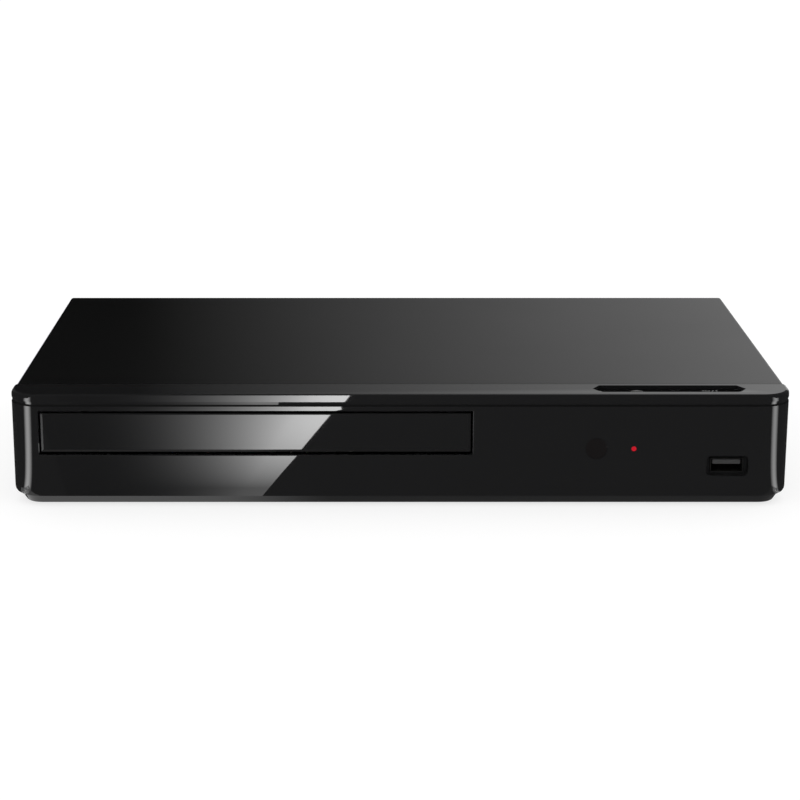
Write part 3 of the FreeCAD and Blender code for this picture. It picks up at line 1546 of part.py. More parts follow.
save("drive_dampers", group([damper(x, y) for x, y in damper_places]))
drive_screws = [screw(Vector(x, y, damper_top_z), UP, length=damper_screw_length)
                for x, y in damper_places]
drive_screws += [screw(seat, UP) for seat in bridge_screw_seats]
save("drive_screws", group(drive_screws))


def clamp_bridge():
    y0 = disc_y - bridge_length / 2
    y1 = disc_y + bridge_length / 2
    x0 = drive_x - bridge_screw_x - bridge_post_radius
    x1 = drive_x + bridge_screw_x + bridge_post_radius
    plate = box(x0, x1, y0, y1, bridge_z, bridge_z + bridge_sheet)
    lips = [box(x0 + bridge_lip_inset, x1 - bridge_lip_inset, y, y + bridge_sheet, bridge_z + bridge_sheet,
                bridge_z + bridge_sheet + bridge_flange) for y in (y0, y1 - bridge_sheet)]
    holes = [post(drive_x, disc_y, bridge_z, bridge_z + bridge_sheet, bridge_hole_radius)]
    holes += [screw_hole(seat, UP) for seat in bridge_screw_seats]
    return carve(join(plate, *lips), holes)


def clamper():
    plate_top = clamper_bottom_z + clamper_plate
    neck_top = bridge_z + bridge_sheet + clamper_lift
    body = join(
        post(drive_x, disc_y, clamper_bottom_z, plate_top, clamper_radius),
        post(drive_x, disc_y, plate_top, neck_top, clamper_neck_radius),
        post(drive_x, disc_y, neck_top, neck_top + clamper_flange, clamper_flange_radius),
    )
    return body.cut(post(drive_x, disc_y, clamper_bottom_z,
                         clamper_bottom_z + clamper_recess_depth, clamper_recess_radius))


save("clamp_bridge", clamp_bridge())
save("clamper", clamper())


# Loading motor, belt and gears in front of the traverse

motor_top_z = motor_bottom_z + motor_height
save("loading_motor", join(
    post(loading_motor_x, gear_y, motor_bottom_z, motor_top_z, motor_radius),
    post(loading_motor_x, gear_y, motor_top_z, pulley_z + pulley_width, motor_shaft_radius),
))


def pulley(x, outer, groove, bore):
    lip = (pulley_width - belt_width) / 2 - seat_gap
    body = join(
        post(x, gear_y, pulley_z, pulley_z + pulley_width, groove),
        post(x, gear_y, pulley_z, pulley_z + lip, outer),
        post(x, gear_y, pulley_z + pulley_width - lip, pulley_z + pulley_width, outer),
    )
    return body.cut(post(x, gear_y, pulley_z, pulley_z + pulley_width, bore))


save("motor_pulley", pulley(loading_motor_x, small_pulley_radius, small_pulley_groove_radius,
                            motor_shaft_radius + shaft_gap))


def pulley_gear():
    wheel = pulley(pulley_gear_x, big_pulley_radius, big_pulley_groove_radius,
                   axle_radius + shaft_gap)
    pinion = gear(pinion_teeth, gear_module, pulley_gear_x, gear_y, pulley_z + pulley_width,
                  gear_z + gear_width, 0)
    pinion = pinion.cut(post(pulley_gear_x, gear_y, pulley_z, gear_z + gear_width,
                             axle_radius + shaft_gap))
    return join(wheel, pinion)


def tray_gear():
    wheel = gear(tray_gear_teeth, gear_module, tray_gear_x, gear_y, gear_z, gear_z + gear_width,
                 180 / tray_gear_teeth)
    return wheel.cut(post(tray_gear_x, gear_y, gear_z, gear_z + gear_width,
                          axle_radius + shaft_gap))


save("pulley_gear", pulley_gear())
save("tray_gear", tray_gear())


def belt_loop(big, small):
    """Outline of a loop round both pulleys, `big` and `small` being its end radii."""
    reach = motor_centre_distance
    lean = acos((big - small) / reach)
    corners = []
    for side in (1, -1):
        touch = Vector(-cos(lean), side * sin(lean), 0)
        corners.append((touch * big, touch * small))
    centre = Vector(pulley_gear_x, gear_y, 0)
    far = centre - Vector(reach, 0, 0)
    (big_a, small_a), (big_b, small_b) = corners
    wire = Part.Wire([
        Part.LineSegment(centre + big_a, far + small_a).toShape(),
        Part.Arc(far + small_a, far + Vector(-small, 0, 0), far + small_b).toShape(),
        Part.LineSegment(far + small_b, centre + big_b).toShape(),
        Part.Arc(centre + big_b, centre + Vector(big, 0, 0), centre + big_a).toShape(),
    ])
    wire.translate(Vector(0, 0, pulley_z + (pulley_width - belt_width) / 2))
    return Part.Face(wire).extrude(Vector(0, 0, belt_width))


inner_big = big_pulley_groove_radius + belt_gap
inner_small = small_pulley_groove_radius + belt_gap
save("loading_belt", belt_loop(inner_big + belt_thickness, inner_small + belt_thickness).cut(
    belt_loop(inner_big, inner_small)))


# Cam slider: its slanted slot lowers the front of the traverse as the tray goes out.

cam_reach = pivot_y - (slider_front_y + slider_back_y) / 2
cam_drop = cam_reach * sin(radians(tilt_angle))


def cam_slider():
    x0 = drive_x - slider_half_length
    x1 = drive_x + slider_half_length
    bottom = frame_floor_z + fit_gap
    wall = box(x0, x1, slider_front_y, slider_back_y, bottom, slider_top_z)
    rail = box(x0, x1, slider_front_y - slider_foot, slider_front_y, bottom,
               bottom + slider_foot_thickness)
    radius = cam_pin_radius + cam_clearance
    start = Vector(drive_x + cam_pin_x, slider_front_y, pivot_z)
    end = start + Vector(slider_travel, 0, -cam_drop)
    run = hypot(slider_travel, cam_drop)
    side = Vector(cam_drop / run, 0, slider_travel / run) * radius
    slot = prism([start + side, end + side, end - side, start - side], Vector(0, slider_plate, 0))
    ends = [rod_along_y(p.x, p.z, slider_front_y, slider_back_y, radius) for p in (start, end)]
    return carve(join(wall, rail), [slot] + ends)


save("cam_slider", cam_slider())


# Disc tray and its door

def tray_rack():
    x = drive_x + rack_x
    return rack(gear_module, x, x + gear_dedendum + rack_rib, gear_y, gear_y - rack_lead,
                tray_rear_y, rack_bottom_z, tray_bottom_z)


def disc_tray():
    x0 = drive_x - tray_width / 2
    x1 = drive_x + tray_width / 2
    front = door_back_y + tray_front_wall
    deck = box(x0, x1, front, tray_rear_y, tray_bottom_z, tray_rim_z)
    flanges = [box(left, left + tray_flange, frame_front_y + tray_flange_inset, tray_rear_y, tray_bottom_z,
                   tray_bottom_z + tray_flange_thickness) for left in (x0 - tray_flange, x1)]
    wall_half = tray_front_wall_width / 2
    wall = box(drive_x - wall_half, drive_x + wall_half, door_back_y, front,
               tray_bottom_z - tray_front_wall_drop, tray_rim_z + tray_front_wall_rise)
    gussets = []
    gusset_top_z = tray_rim_z + tray_front_wall_rise - gusset_drop
    for place in gusset_places:
        left = drive_x + place - gusset_thickness / 2
        gussets.append(plate_x([(front, tray_rim_z), (front + gusset_length, tray_rim_z),
                                (front, gusset_top_z)], left, left + gusset_thickness))
    body = join(deck, wall, *flanges, *gussets, tray_rack())
    well_z = tray_rim_z - tray_well_depth
    under_z = well_z - tray_floor
    cuts = [
        post(drive_x, disc_y, well_z, tray_rim_z, disc_well_radius),
        post(drive_x, disc_y, well_z - tray_small_well_depth, well_z, small_disc_radius),
        post(drive_x, disc_y, tray_bottom_z, tray_rim_z, tray_slot_width / 2),
        box(drive_x - tray_slot_width / 2, drive_x + tray_slot_width / 2, disc_y, tray_rear_y,
            tray_bottom_z, tray_rim_z),
        box(x0 + tray_skirt, drive_x - tray_slot_width / 2 - tray_skirt, front + tray_skirt,
            tray_rear_y - tray_skirt, tray_bottom_z, under_z),
        box(drive_x + tray_slot_width / 2 + tray_skirt, drive_x + rack_x - tray_skirt,
            front + tray_skirt, tray_rear_y - tray_skirt, tray_bottom_z, under_z),
    ]
    for x in (x0, x1):
        cuts.append(post(x, disc_y, well_z, tray_rim_z, tray_scallop_radius))
    return carve(body, cuts)


def tray_door():
    corners = [(door_left_x, door_bottom_z), (door_right_x, door_bottom_z),
               (door_right_x, door_top_z), (door_left_x, door_top_z)]
    face_corners = [
        (door_left_x + door_bevel, door_bottom_z + door_bevel),
        (door_right_x - door_bevel, door_bottom_z + door_bevel),
        (door_right_x - door_bevel, door_top_z - door_top_bevel),
        (door_left_x + door_bevel, door_top_z - door_top_bevel),
    ]
    wires = []
    for outline, y in ((face_corners, front_y), (corners, front_y + door_bevel_depth)):
        ordered = [Vector(x, y, z) for x, z in outline]
        wires.append(Part.makePolygon(ordered + [ordered[0]]))
    face = Part.makeLoft(wires, True, True)
    plate = plate_y(corners, front_y + door_bevel_depth, door_back_y)
    return join(face, plate)


save("disc_tray", disc_tray())
save("tray_door", tray_door())


# Traverse: the tilting frame with the spindle motor, the rods and the feed motor

traverse_top_z = traverse_bottom_z + traverse_height


def traverse_frame():
    x0 = drive_x - traverse_half_width
    x1 = drive_x + traverse_half_width
    solids = [box(x0, x1, traverse_front_y, traverse_rear_y, traverse_bottom_z, traverse_top_z)]
    for side in (-1, 1):
        edge = drive_x + side * traverse_half_width
        tip = edge + side * pivot_length
        solids.append(rod_along_x(pivot_y, pivot_z, min(edge, tip), max(edge, tip), pivot_radius))
    solids.append(rod_along_y(drive_x + cam_pin_x, pivot_z, slider_front_y - cam_pin_end,
                              traverse_front_y, cam_pin_radius))
    wall_y = feed_motor_y + feed_motor_radius + feed_wall_gap
    solids.append(box(x0, drive_x - traverse_window_half + feed_wall, wall_y, wall_y + feed_wall,
                      feed_gear_z - feed_motor_drop - feed_motor_height, traverse_bottom_z))
    frame = join(*solids)
    cuts = [
        box(drive_x - traverse_window_half, drive_x + traverse_window_half,
            traverse_window_front_y, traverse_window_rear_y, traverse_bottom_z, traverse_top_z),
        box(x0 + traverse_rim, x1 - traverse_rim, traverse_front_y + traverse_rim,
            traverse_window_front_y - rod_end, traverse_bottom_z + traverse_plate, traverse_top_z),
        box(drive_x + feed_rack_x - rack_slot_left, drive_x + feed_rack_x + rack_slot_right,
            feed_gear_y - sled_travel - rack_slot_end, traverse_window_front_y,
            traverse_bottom_z, traverse_top_z),
        post(feed_gear_x, feed_gear_y, traverse_bottom_z,
             feed_pinion_z + feed_pinion_width + fit_gap, feed_pinion_radius + feed_module + fit_gap),
        post(feed_gear_x, feed_gear_y, traverse_bottom_z, traverse_top_z, feed_axle_radius),
    ]
    for side in (-1, 1):
        cuts.append(rod_along_y(drive_x + side * rod_x, rod_z, traverse_window_front_y - rod_end,
                                traverse_window_rear_y + rod_end, rod_radius))
    return carve(frame, cuts)


save("traverse_frame", traverse_frame())
save("guide_rods", group([
    rod_along_y(drive_x + side * rod_x, rod_z, traverse_window_front_y - rod_end,
                traverse_window_rear_y + rod_end, rod_radius)
    for side in (-1, 1)
]))

spindle_bottom_z = traverse_bottom_z + traverse_plate
turntable_bottom_z = turntable_z - turntable_thickness
save("spindle_motor", post(drive_x, disc_y, spindle_bottom_z, spindle_bottom_z + spindle_height,
                           spindle_radius).cut(
    post(drive_x, disc_y, spindle_bottom_z + spindle_bearing, spindle_bottom_z + spindle_height,
         spindle_shaft_radius + shaft_gap)))


def turntable():
    hub = post(drive_x, disc_y, turntable_z, turntable_z + hub_height, hub_radius)
    rim = [e for e in hub.Edges if abs(e.CenterOfMass.z - turntable_z - hub_height) < 0.01]
    hub = hub.makeChamfer(hub_chamfer, rim[:1])
    return join(
        post(drive_x, disc_y, turntable_bottom_z, turntable_z, turntable_radius),
        hub,
        post(drive_x, disc_y, spindle_bottom_z + spindle_bearing + fit_gap, turntable_bottom_z,
             spindle_shaft_radius),
    )


save("turntable", turntable())

feed_face_z = feed_gear_z - feed_motor_drop
save("feed_motor", join(
    post(feed_gear_x, feed_motor_y, feed_face_z - feed_motor_height, feed_face_z,
         feed_motor_radius),
    post(feed_gear_x, feed_motor_y, feed_face_z, feed_gear_z + feed_gear_width, feed_axle_radius),
))
save("feed_motor_gear", gear(
    feed_motor_gear_teeth, feed_module, feed_gear_x, feed_motor_y, feed_gear_z,
    feed_gear_z + feed_gear_width, -90 + 180 / feed_motor_gear_teeth,
).cut(post(feed_gear_x, feed_motor_y, feed_gear_z, feed_gear_z + feed_gear_width,
           feed_axle_radius + shaft_gap)))


def feed_gear():
    wheel = gear(feed_gear_teeth, feed_module, feed_gear_x, feed_gear_y, feed_gear_z,
                 feed_gear_z + feed_gear_width, 90)
    neck = post(feed_gear_x, feed_gear_y, feed_gear_z + feed_gear_width, feed_pinion_z,
                feed_pinion_radius - gear_dedendum * feed_module)
    pinion = gear(feed_pinion_teeth, feed_module, feed_gear_x, feed_gear_y, feed_pinion_z,
                  feed_pinion_z + feed_pinion_width, 180 / feed_pinion_teeth)
    axle = post(feed_gear_x, feed_gear_y, feed_pinion_z + feed_pinion_width,
                traverse_top_z - feed_axle_setback, feed_axle_radius - shaft_gap)
    return join(wheel, neck, pinion, axle)


save("feed_gear", feed_gear())


# Pickup sled, which rides on the two rods and carries the lens

def pickup_sled():
    rear = sled_front_y + sled_length
    body = box(drive_x - sled_half_width, drive_x + sled_half_width, sled_front_y, rear,
               sled_bottom_z, sled_top_z)
    solids = [body]
    short_bush = (sled_front_y + short_bush_inset, rear - short_bush_inset)
    for side, y0, y1 in ((-1, sled_front_y, rear), (1, *short_bush)):
        x = drive_x + side * rod_x
        edge = drive_x + side * sled_half_width
        solids.append(rod_along_y(x, rod_z, y0, y1, sled_bush_radius))
        solids.append(box(min(edge, x), max(edge, x), y0, y1, rod_z - sled_arm, rod_z + sled_arm))
    rack_left = drive_x + feed_rack_x
    rack_root = rack_left + gear_dedendum * feed_module
    rack_y0 = feed_gear_y - sled_travel - rack_end
    rack_top_z = feed_pinion_z + feed_pinion_width
    solids.append(rack(feed_module, rack_left, rack_root + feed_rack_rib, feed_gear_y, rack_y0, rear,
                       feed_pinion_z, rack_top_z))
    solids.append(box(rack_root, drive_x - rod_x, sled_front_y, rear, feed_pinion_z, rack_top_z))
    solids.append(box(drive_x - actuator_half_width, drive_x + actuator_half_width,
                      actuator_front_y, actuator_front_y + actuator_length, sled_top_z,
                      actuator_top_z))
    sled = join(*solids)
    cuts = [rod_along_y(drive_x + side * rod_x, rod_z, sled_front_y, rear, rod_radius + shaft_gap)
            for side in (-1, 1)]
    cuts.append(post(drive_x, lens_y, sled_top_z, actuator_top_z, lens_radius + seat_gap))
    return carve(sled, cuts)


save("pickup_sled", pickup_sled())
lens = post(drive_x, lens_y, sled_top_z, lens_top_z, lens_radius)
lens_rim = [e for e in lens.Edges if abs(e.CenterOfMass.z - lens_top_z) < 0.01]
save("objective_lens", lens.makeFillet(lens_rounding, lens_rim[:1]))


# Small board at the rear of the drive frame, where the drive's cable starts

drive_board_y = frame_window_rear_y + drive_board_gap
save("drive_board", box(drive_x - drive_board_half_width, drive_board_right_x, drive_board_y,
                        drive_board_y + drive_board_length, frame_floor_z, drive_board_top_z))
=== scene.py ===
import bmesh
import bpy
from math import cos, pi, radians, sin
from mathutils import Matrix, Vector


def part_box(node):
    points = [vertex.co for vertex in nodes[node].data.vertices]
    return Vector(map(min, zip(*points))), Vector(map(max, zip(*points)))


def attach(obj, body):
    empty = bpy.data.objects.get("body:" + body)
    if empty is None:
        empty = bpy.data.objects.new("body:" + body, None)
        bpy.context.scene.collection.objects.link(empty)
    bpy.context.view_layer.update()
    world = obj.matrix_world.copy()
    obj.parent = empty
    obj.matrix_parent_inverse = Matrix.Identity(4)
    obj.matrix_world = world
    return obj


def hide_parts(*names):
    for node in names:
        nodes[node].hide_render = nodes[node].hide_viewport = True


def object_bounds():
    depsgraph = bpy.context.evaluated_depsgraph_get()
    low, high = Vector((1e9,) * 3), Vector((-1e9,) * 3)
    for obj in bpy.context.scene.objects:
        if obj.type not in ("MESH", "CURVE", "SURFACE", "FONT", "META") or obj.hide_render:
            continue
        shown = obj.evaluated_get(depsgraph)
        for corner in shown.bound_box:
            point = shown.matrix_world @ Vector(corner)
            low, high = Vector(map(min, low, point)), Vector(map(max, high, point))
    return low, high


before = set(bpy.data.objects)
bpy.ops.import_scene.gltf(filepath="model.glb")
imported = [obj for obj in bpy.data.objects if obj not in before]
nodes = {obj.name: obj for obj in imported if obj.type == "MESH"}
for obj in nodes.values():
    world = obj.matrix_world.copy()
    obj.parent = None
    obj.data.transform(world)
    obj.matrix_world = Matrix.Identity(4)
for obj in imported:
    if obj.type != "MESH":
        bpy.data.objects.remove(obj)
cad_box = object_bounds()
scene = bpy.context.scene
scene.view_settings.view_transform = "Standard"
MM = 0.001


# Camera. It stands in front of the player and a little above it, with a long lens.
# Its height, tilt and sideways shift are those of the photograph.

view_pitch = 15.14
view_distance = 815.8 * MM
view_height = 218.5 * MM
view_x = -10.85 * MM
camera_data = bpy.data.cameras.new("camera")
camera_data.sensor_width = 36.0
camera_data.lens = 96.0
camera_data.shift_x = 0.0335
camera_data.clip_start = 0.01
camera = bpy.data.objects.new("camera", camera_data)
camera.location = (view_x, cad_box[0][1] - view_distance, cad_box[1][2] + view_height)
camera.rotation_euler = (radians(90 - view_pitch), 0, 0)
scene.collection.objects.link(camera)
scene.camera = camera


# Studio. A white dome and a white floor light the player evenly from all sides.
# In reflections the room is dim, so that black plastic stays black.

room_in_reflections = 0.10
floor_in_reflections = 0.03
floor_grey = 0.3
floor_own_light = 0.75
floor_half = 6.0
floor_drop = 0.02 * MM


def dim_in_reflections(tree, lit, dim, output):
    """Sends `lit` to the output, and `dim` in its place where only a reflection sees it."""
    rays = tree.nodes.new("ShaderNodeLightPath")
    choice = tree.nodes.new("ShaderNodeMixShader")
    tree.links.new(rays.outputs["Is Glossy Ray"], choice.inputs["Fac"])
    tree.links.new(lit, choice.inputs[1])
    tree.links.new(dim, choice.inputs[2])
    tree.links.new(choice.outputs["Shader"], output.inputs["Surface"])


world = bpy.data.worlds.new("studio")
scene.world = world
world.use_nodes = True
tree = world.node_tree
tree.nodes.clear()
dome = tree.nodes.new("ShaderNodeBackground")
dome.inputs["Color"].default_value = (1, 1, 1, 1)
dim_room = tree.nodes.new("ShaderNodeBackground")
dim_room.inputs["Strength"].default_value = room_in_reflections
world_out = tree.nodes.new("ShaderNodeOutputWorld")
dim_in_reflections(tree, dome.outputs["Background"], dim_room.outputs["Background"], world_out)

floor_mesh = bpy.data.meshes.new("floor")
floor_corners = [(-floor_half, -floor_half), (floor_half, -floor_half),
                 (floor_half, floor_half), (-floor_half, floor_half)]
floor_mesh.from_pydata([(x, y, -floor_drop) for x, y in floor_corners], [], [(0, 1, 2, 3)])
floor = bpy.data.objects.new("floor", floor_mesh)
scene.collection.objects.link(floor)
floor_paint = bpy.data.materials.new("white_floor")
floor_paint.use_nodes = True
tree = floor_paint.node_tree
tree.nodes.clear()
white = tree.nodes.new("ShaderNodeBsdfDiffuse")
white.inputs["Color"].default_value = (floor_grey, floor_grey, floor_grey, 1)
white_glow = tree.nodes.new("ShaderNodeEmission")
white_glow.inputs["Strength"].default_value = floor_own_light
lit_floor = tree.nodes.new("ShaderNodeAddShader")
tree.links.new(white.outputs["BSDF"], lit_floor.inputs[0])
tree.links.new(white_glow.outputs["Emission"], lit_floor.inputs[1])
dim_floor = tree.nodes.new("ShaderNodeEmission")
dim_floor.inputs["Strength"].default_value = floor_in_reflections
floor_out = tree.nodes.new("ShaderNodeOutputMaterial")
dim_in_reflections(tree, lit_floor.outputs["Shader"], dim_floor.outputs["Emission"], floor_out)
floor_mesh.materials.append(floor_paint)


# Glowing cards, which only reflections see. Each is a patch of points whose glow is
# worked out from its place: the slanted light in the front face, the corner lights and
# the graded light in the top.

card_light = bpy.data.materials.new("card_light")
card_light.use_nodes = True
tree = card_light.node_tree
tree.nodes.clear()
glow = tree.nodes.new("ShaderNodeAttribute")
glow.attribute_name = "glow"
lamp = tree.nodes.new("ShaderNodeEmission")
card_out = tree.nodes.new("ShaderNodeOutputMaterial")
tree.links.new(glow.outputs["Fac"], lamp.inputs["Strength"])
tree.links.new(lamp.outputs["Emission"], card_out.inputs["Surface"])


def glow_card(name, steps, point, strength):
    """A card of steps x steps cells; point(a, b) and strength(a, b) take a and b from 0 to 1."""
    shares = [i / steps for i in range(steps + 1)]
    grid = [(a, b) for b in shares for a in shares]
    row = steps + 1
    cells = [(j * row + i, j * row + i + 1, (j + 1) * row + i + 1, (j + 1) * row + i)
             for j in range(steps) for i in range(steps)]
    mesh = bpy.data.meshes.new(name)
    mesh.from_pydata([Vector(point(a, b)) * MM for a, b in grid], [], cells)
    values = mesh.attributes.new("glow", "FLOAT", "POINT")
    values.data.foreach_set("value", [max(0.0, strength(a, b)) for a, b in grid])
    mesh.materials.append(card_light)
    card = bpy.data.objects.new(name, mesh)
    card.visible_camera = False
    card.visible_diffuse = False
    card.visible_transmission = False
    card.visible_shadow = False
    scene.collection.objects.link(card)


front_mm = cad_box[0][1] / MM
card_height = 0.5
front_glow_near = 12.0
front_glow_far = 190.0
front_glow_edge = -58.5
front_glow_slant = 0.2053
front_glow_width = 74.0
front_glow_spread = 0.45
front_glow_level = 0.92
front_glow_least = 2.8
front_glow_fade = 3.9


def front_glow_ahead(b):
    return front_glow_near + b * (front_glow_far - front_glow_near)


def front_glow_place(a, b):
    ahead = front_glow_ahead(b)
    edge = front_glow_edge + front_glow_slant * ahead
    width = front_glow_width + front_glow_spread * ahead
    return (edge - a * width, front_mm - ahead, card_height)


def front_glow_strength(a, b):
    """Rises and sags along the card, is a little dimmer at its edge and fades away from it."""
    ahead = front_glow_ahead(b)
    start, rise, sag, far_gain = 5.9, 0.169, 0.000958, 0.0012
    along = start + rise * (ahead - 35) - sag * (ahead - 35) * (ahead - 115)
    along *= 1 + far_gain * max(0.0, ahead - 130)
    at_edge, edge_gain, edge_width = 0.72, 0.28, 0.12
    near_edge = at_edge + edge_gain * min(1.0, a / edge_width)
    return front_glow_level * max(front_glow_least, along) * near_edge * (1 - a) ** front_glow_fade


glow_card("front_glow", 80, front_glow_place, front_glow_strength)

near_glow_left = -170.0
near_glow_width = 340.0
near_glow_back = 7.0
near_glow_depth = 18.0
near_glow_end = 145.0
near_glow_blend = 51.0
near_glow_least = 0.13
near_glow_gain = 0.75


def near_glow_place(a, b):
    x = near_glow_left + near_glow_width * a
    return (x, front_mm + near_glow_back - near_glow_depth * b, card_height)


def near_glow_strength(a, b):
    """Strong on the left, with one smooth step down to the right."""
    share = min(1.0, max(0.0, (near_glow_end - near_glow_width * a) / near_glow_blend))
    return near_glow_least + near_glow_gain * share * share * (3 - 2 * share)


glow_card("near_glow", 60, near_glow_place, near_glow_strength)

corner_glow_start = 8.0
corner_glow_length = 190.0
corner_glow_setback = 12.0
corner_glow_power = 1.2


def corner_glow(name, corner_x, side, first, last, strength):
    """A wedge of light on the floor, seen in the rounded corner between two headings."""
    def place(a, b):
        heading = radians(first + a * (last - first))
        reach = corner_glow_start + b * corner_glow_length
        x = corner_x + side * reach * sin(heading)
        return (x, front_mm + corner_glow_setback - reach * cos(heading), card_height)
    glow_card(name, 40, place, lambda a, b: strength * sin(pi * a) ** corner_glow_power)


corner_glow("left_corner_glow", -148.0, -1, 31.5, 65.0, 6.1)
corner_glow("right_corner_glow", 149.0, 1, 40.0, 72.0, 4.8)

backdrop_y = 420.0
backdrop_left = -330.0
backdrop_right = 420.0
backdrop_bottom = 30.0
backdrop_top = 420.0
backdrop_dark_share = 0.15
backdrop_gain = 1.2
backdrop_curve = 1.25
backdrop_cut = 0.045


def backdrop_place(a, b):
    x = backdrop_left + a * (backdrop_right - backdrop_left)
    return (x, backdrop_y, backdrop_bottom + b * (backdrop_top - backdrop_bottom))


def backdrop_strength(a, b):
    return backdrop_gain * max(0.0, a - backdrop_dark_share) ** backdrop_curve - backdrop_cut


glow_card("graded_backdrop", 40, backdrop_place, backdrop_strength)


# Bottom pan of galvanised sheet steel, pressed, with vent slots and bosses for the boards.
# Its zinc shows a faint crystal pattern. The disc clamp's bridge is of the same sheet.

def surface_group(name, pattern):
    """Uneven tone, sheen and fine relief over object coordinates. `pattern` adds its nodes
    and gives two sockets from 0 to 1: the patches and the grain."""
    group = bpy.data.node_groups.new(name, "ShaderNodeTree")
    for label, kind, value in (
            ("Color", "NodeSocketColor", (0.5, 0.5, 0.5, 1)), ("Tone", "NodeSocketFloat", 0.1),
            ("Patch Scale", "NodeSocketFloat", 40.0), ("Roughness", "NodeSocketFloat", 0.5),
            ("Sheen Change", "NodeSocketFloat", 0.05), ("Grain Scale", "NodeSocketFloat", 900.0)):
        socket = group.interface.new_socket(label, in_out="INPUT", socket_type=kind)
        socket.default_value = value
    for label, kind in (("Color", "NodeSocketColor"), ("Roughness", "NodeSocketFloat"),
                        ("Height", "NodeSocketFloat")):
        group.interface.new_socket(label, in_out="OUTPUT", socket_type=kind)
    given = group.nodes.new("NodeGroupInput")
    result = group.nodes.new("NodeGroupOutput")
    place = group.nodes.new("ShaderNodeTexCoord")
    patches, grain = pattern(group, given, place.outputs["Object"])
    link = group.links.new
    centred = group.nodes.new("ShaderNodeMath")
    centred.operation = "SUBTRACT"
    centred.inputs[1].default_value = 0.5
    link(patches, centred.inputs[0])
    tone = group.nodes.new("ShaderNodeMath")
    tone.operation = "MULTIPLY_ADD"
    tone.inputs[2].default_value = 1.0
    link(centred.outputs[0], tone.inputs[0])
    link(given.outputs["Tone"], tone.inputs[1])
    shaded = group.nodes.new("ShaderNodeVectorMath")
    shaded.operation = "SCALE"
    link(given.outputs["Color"], shaded.inputs[0])
    link(tone.outputs[0], shaded.inputs["Scale"])
    link(shaded.outputs[0], result.inputs["Color"])
    sheen = group.nodes.new("ShaderNodeMath")
    sheen.operation = "MULTIPLY_ADD"
    link(centred.outputs[0], sheen.inputs[0])
    link(given.outputs["Sheen Change"], sheen.inputs[1])
    link(given.outputs["Roughness"], sheen.inputs[2])
    link(sheen.outputs[0], result.inputs["Roughness"])
    link(grain, result.inputs["Height"])
    return group


def noise(group, given, vector, scale, detail):
    texture = group.nodes.new("ShaderNodeTexNoise")
    texture.inputs["Detail"].default_value = detail
    group.links.new(vector, texture.inputs["Vector"])
    group.links.new(given.outputs[scale], texture.inputs["Scale"])
    return texture.outputs["Fac"]


def spangle_pattern(group, given, place):
    crystals = group.nodes.new("ShaderNodeTexVoronoi")
    group.links.new(place, crystals.inputs["Vector"])
    group.links.new(given.outputs["Patch Scale"], crystals.inputs["Scale"])
    shade = group.nodes.new("ShaderNodeSeparateColor")
    group.links.new(crystals.outputs["Color"], shade.inputs["Color"])
    return shade.outputs["Red"], noise(group, given, place, "Grain Scale", 2.0)


spangled_surface = surface_group("spangled_surface", spangle_pattern)


def finish(name, surface, colour, roughness, metallic=0.0, tone=0.15, patches=40.0,
           sheen_change=0.08, grain=1500.0, depth=0.02, **constants):
    """A material whose tone, sheen and relief vary as `surface` says; `depth` is in mm."""
    material = bpy.data.materials.new(name)
    material.use_nodes = True
    tree = material.node_tree
    shader = tree.nodes["Principled BSDF"]
    skin = tree.nodes.new("ShaderNodeGroup")
    skin.node_tree = surface
    skin.inputs["Color"].default_value = (*colour, 1)
    skin.inputs["Tone"].default_value = tone
    skin.inputs["Patch Scale"].default_value = patches
    skin.inputs["Roughness"].default_value = roughness
    skin.inputs["Sheen Change"].default_value = sheen_change
    skin.inputs["Grain Scale"].default_value = grain
    bump = tree.nodes.new("ShaderNodeBump")
    bump.inputs["Distance"].default_value = depth * MM
    tree.links.new(skin.outputs["Color"], shader.inputs["Base Color"])
    tree.links.new(skin.outputs["Roughness"], shader.inputs["Roughness"])
    tree.links.new(skin.outputs["Height"], bump.inputs["Height"])
    tree.links.new(bump.outputs["Normal"], shader.inputs["Normal"])
    shader.inputs["Metallic"].default_value = metallic
    for socket, value in constants.items():
        shader.inputs[socket.replace("_", " ")].default_value = value
    return material


def plain_mesh(piece):
    """Turns a piece and its modifiers into one plain mesh."""
    view = bpy.context.evaluated_depsgraph_get()
    mesh = bpy.data.meshes.new_from_object(piece.evaluated_get(view),
                                           preserve_all_data_layers=True, depsgraph=view)
    piece.modifiers.clear()
    piece.data = mesh


def fit_out(piece, material, body):
    if not piece.users_collection:
        scene.collection.objects.link(piece)
    piece.data.materials.clear()
    piece.data.materials.append(material)
    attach(piece, body)
    return piece


def keep_solids(work, keep):
    """Leaves in `work` only the solids of which keep(middle in millimetres) is true."""
    unseen = set(work.verts)
    while unseen:
        solid = [unseen.pop()]
        for vert in solid:
            for edge in vert.link_edges:
                other = edge.other_vert(vert)
                if other in unseen:
                    unseen.remove(other)
                    solid.append(other)
        middle = sum((vert.co for vert in solid), Vector()) / len(solid) / MM
        if not keep(middle):
            bmesh.ops.delete(work, geom=solid, context="VERTS")


merge_distance = 0.002 * MM
level_drop = 0.01 * MM
flat_angle = 0.3
rounding_angle = 20
crisp_angle = 30


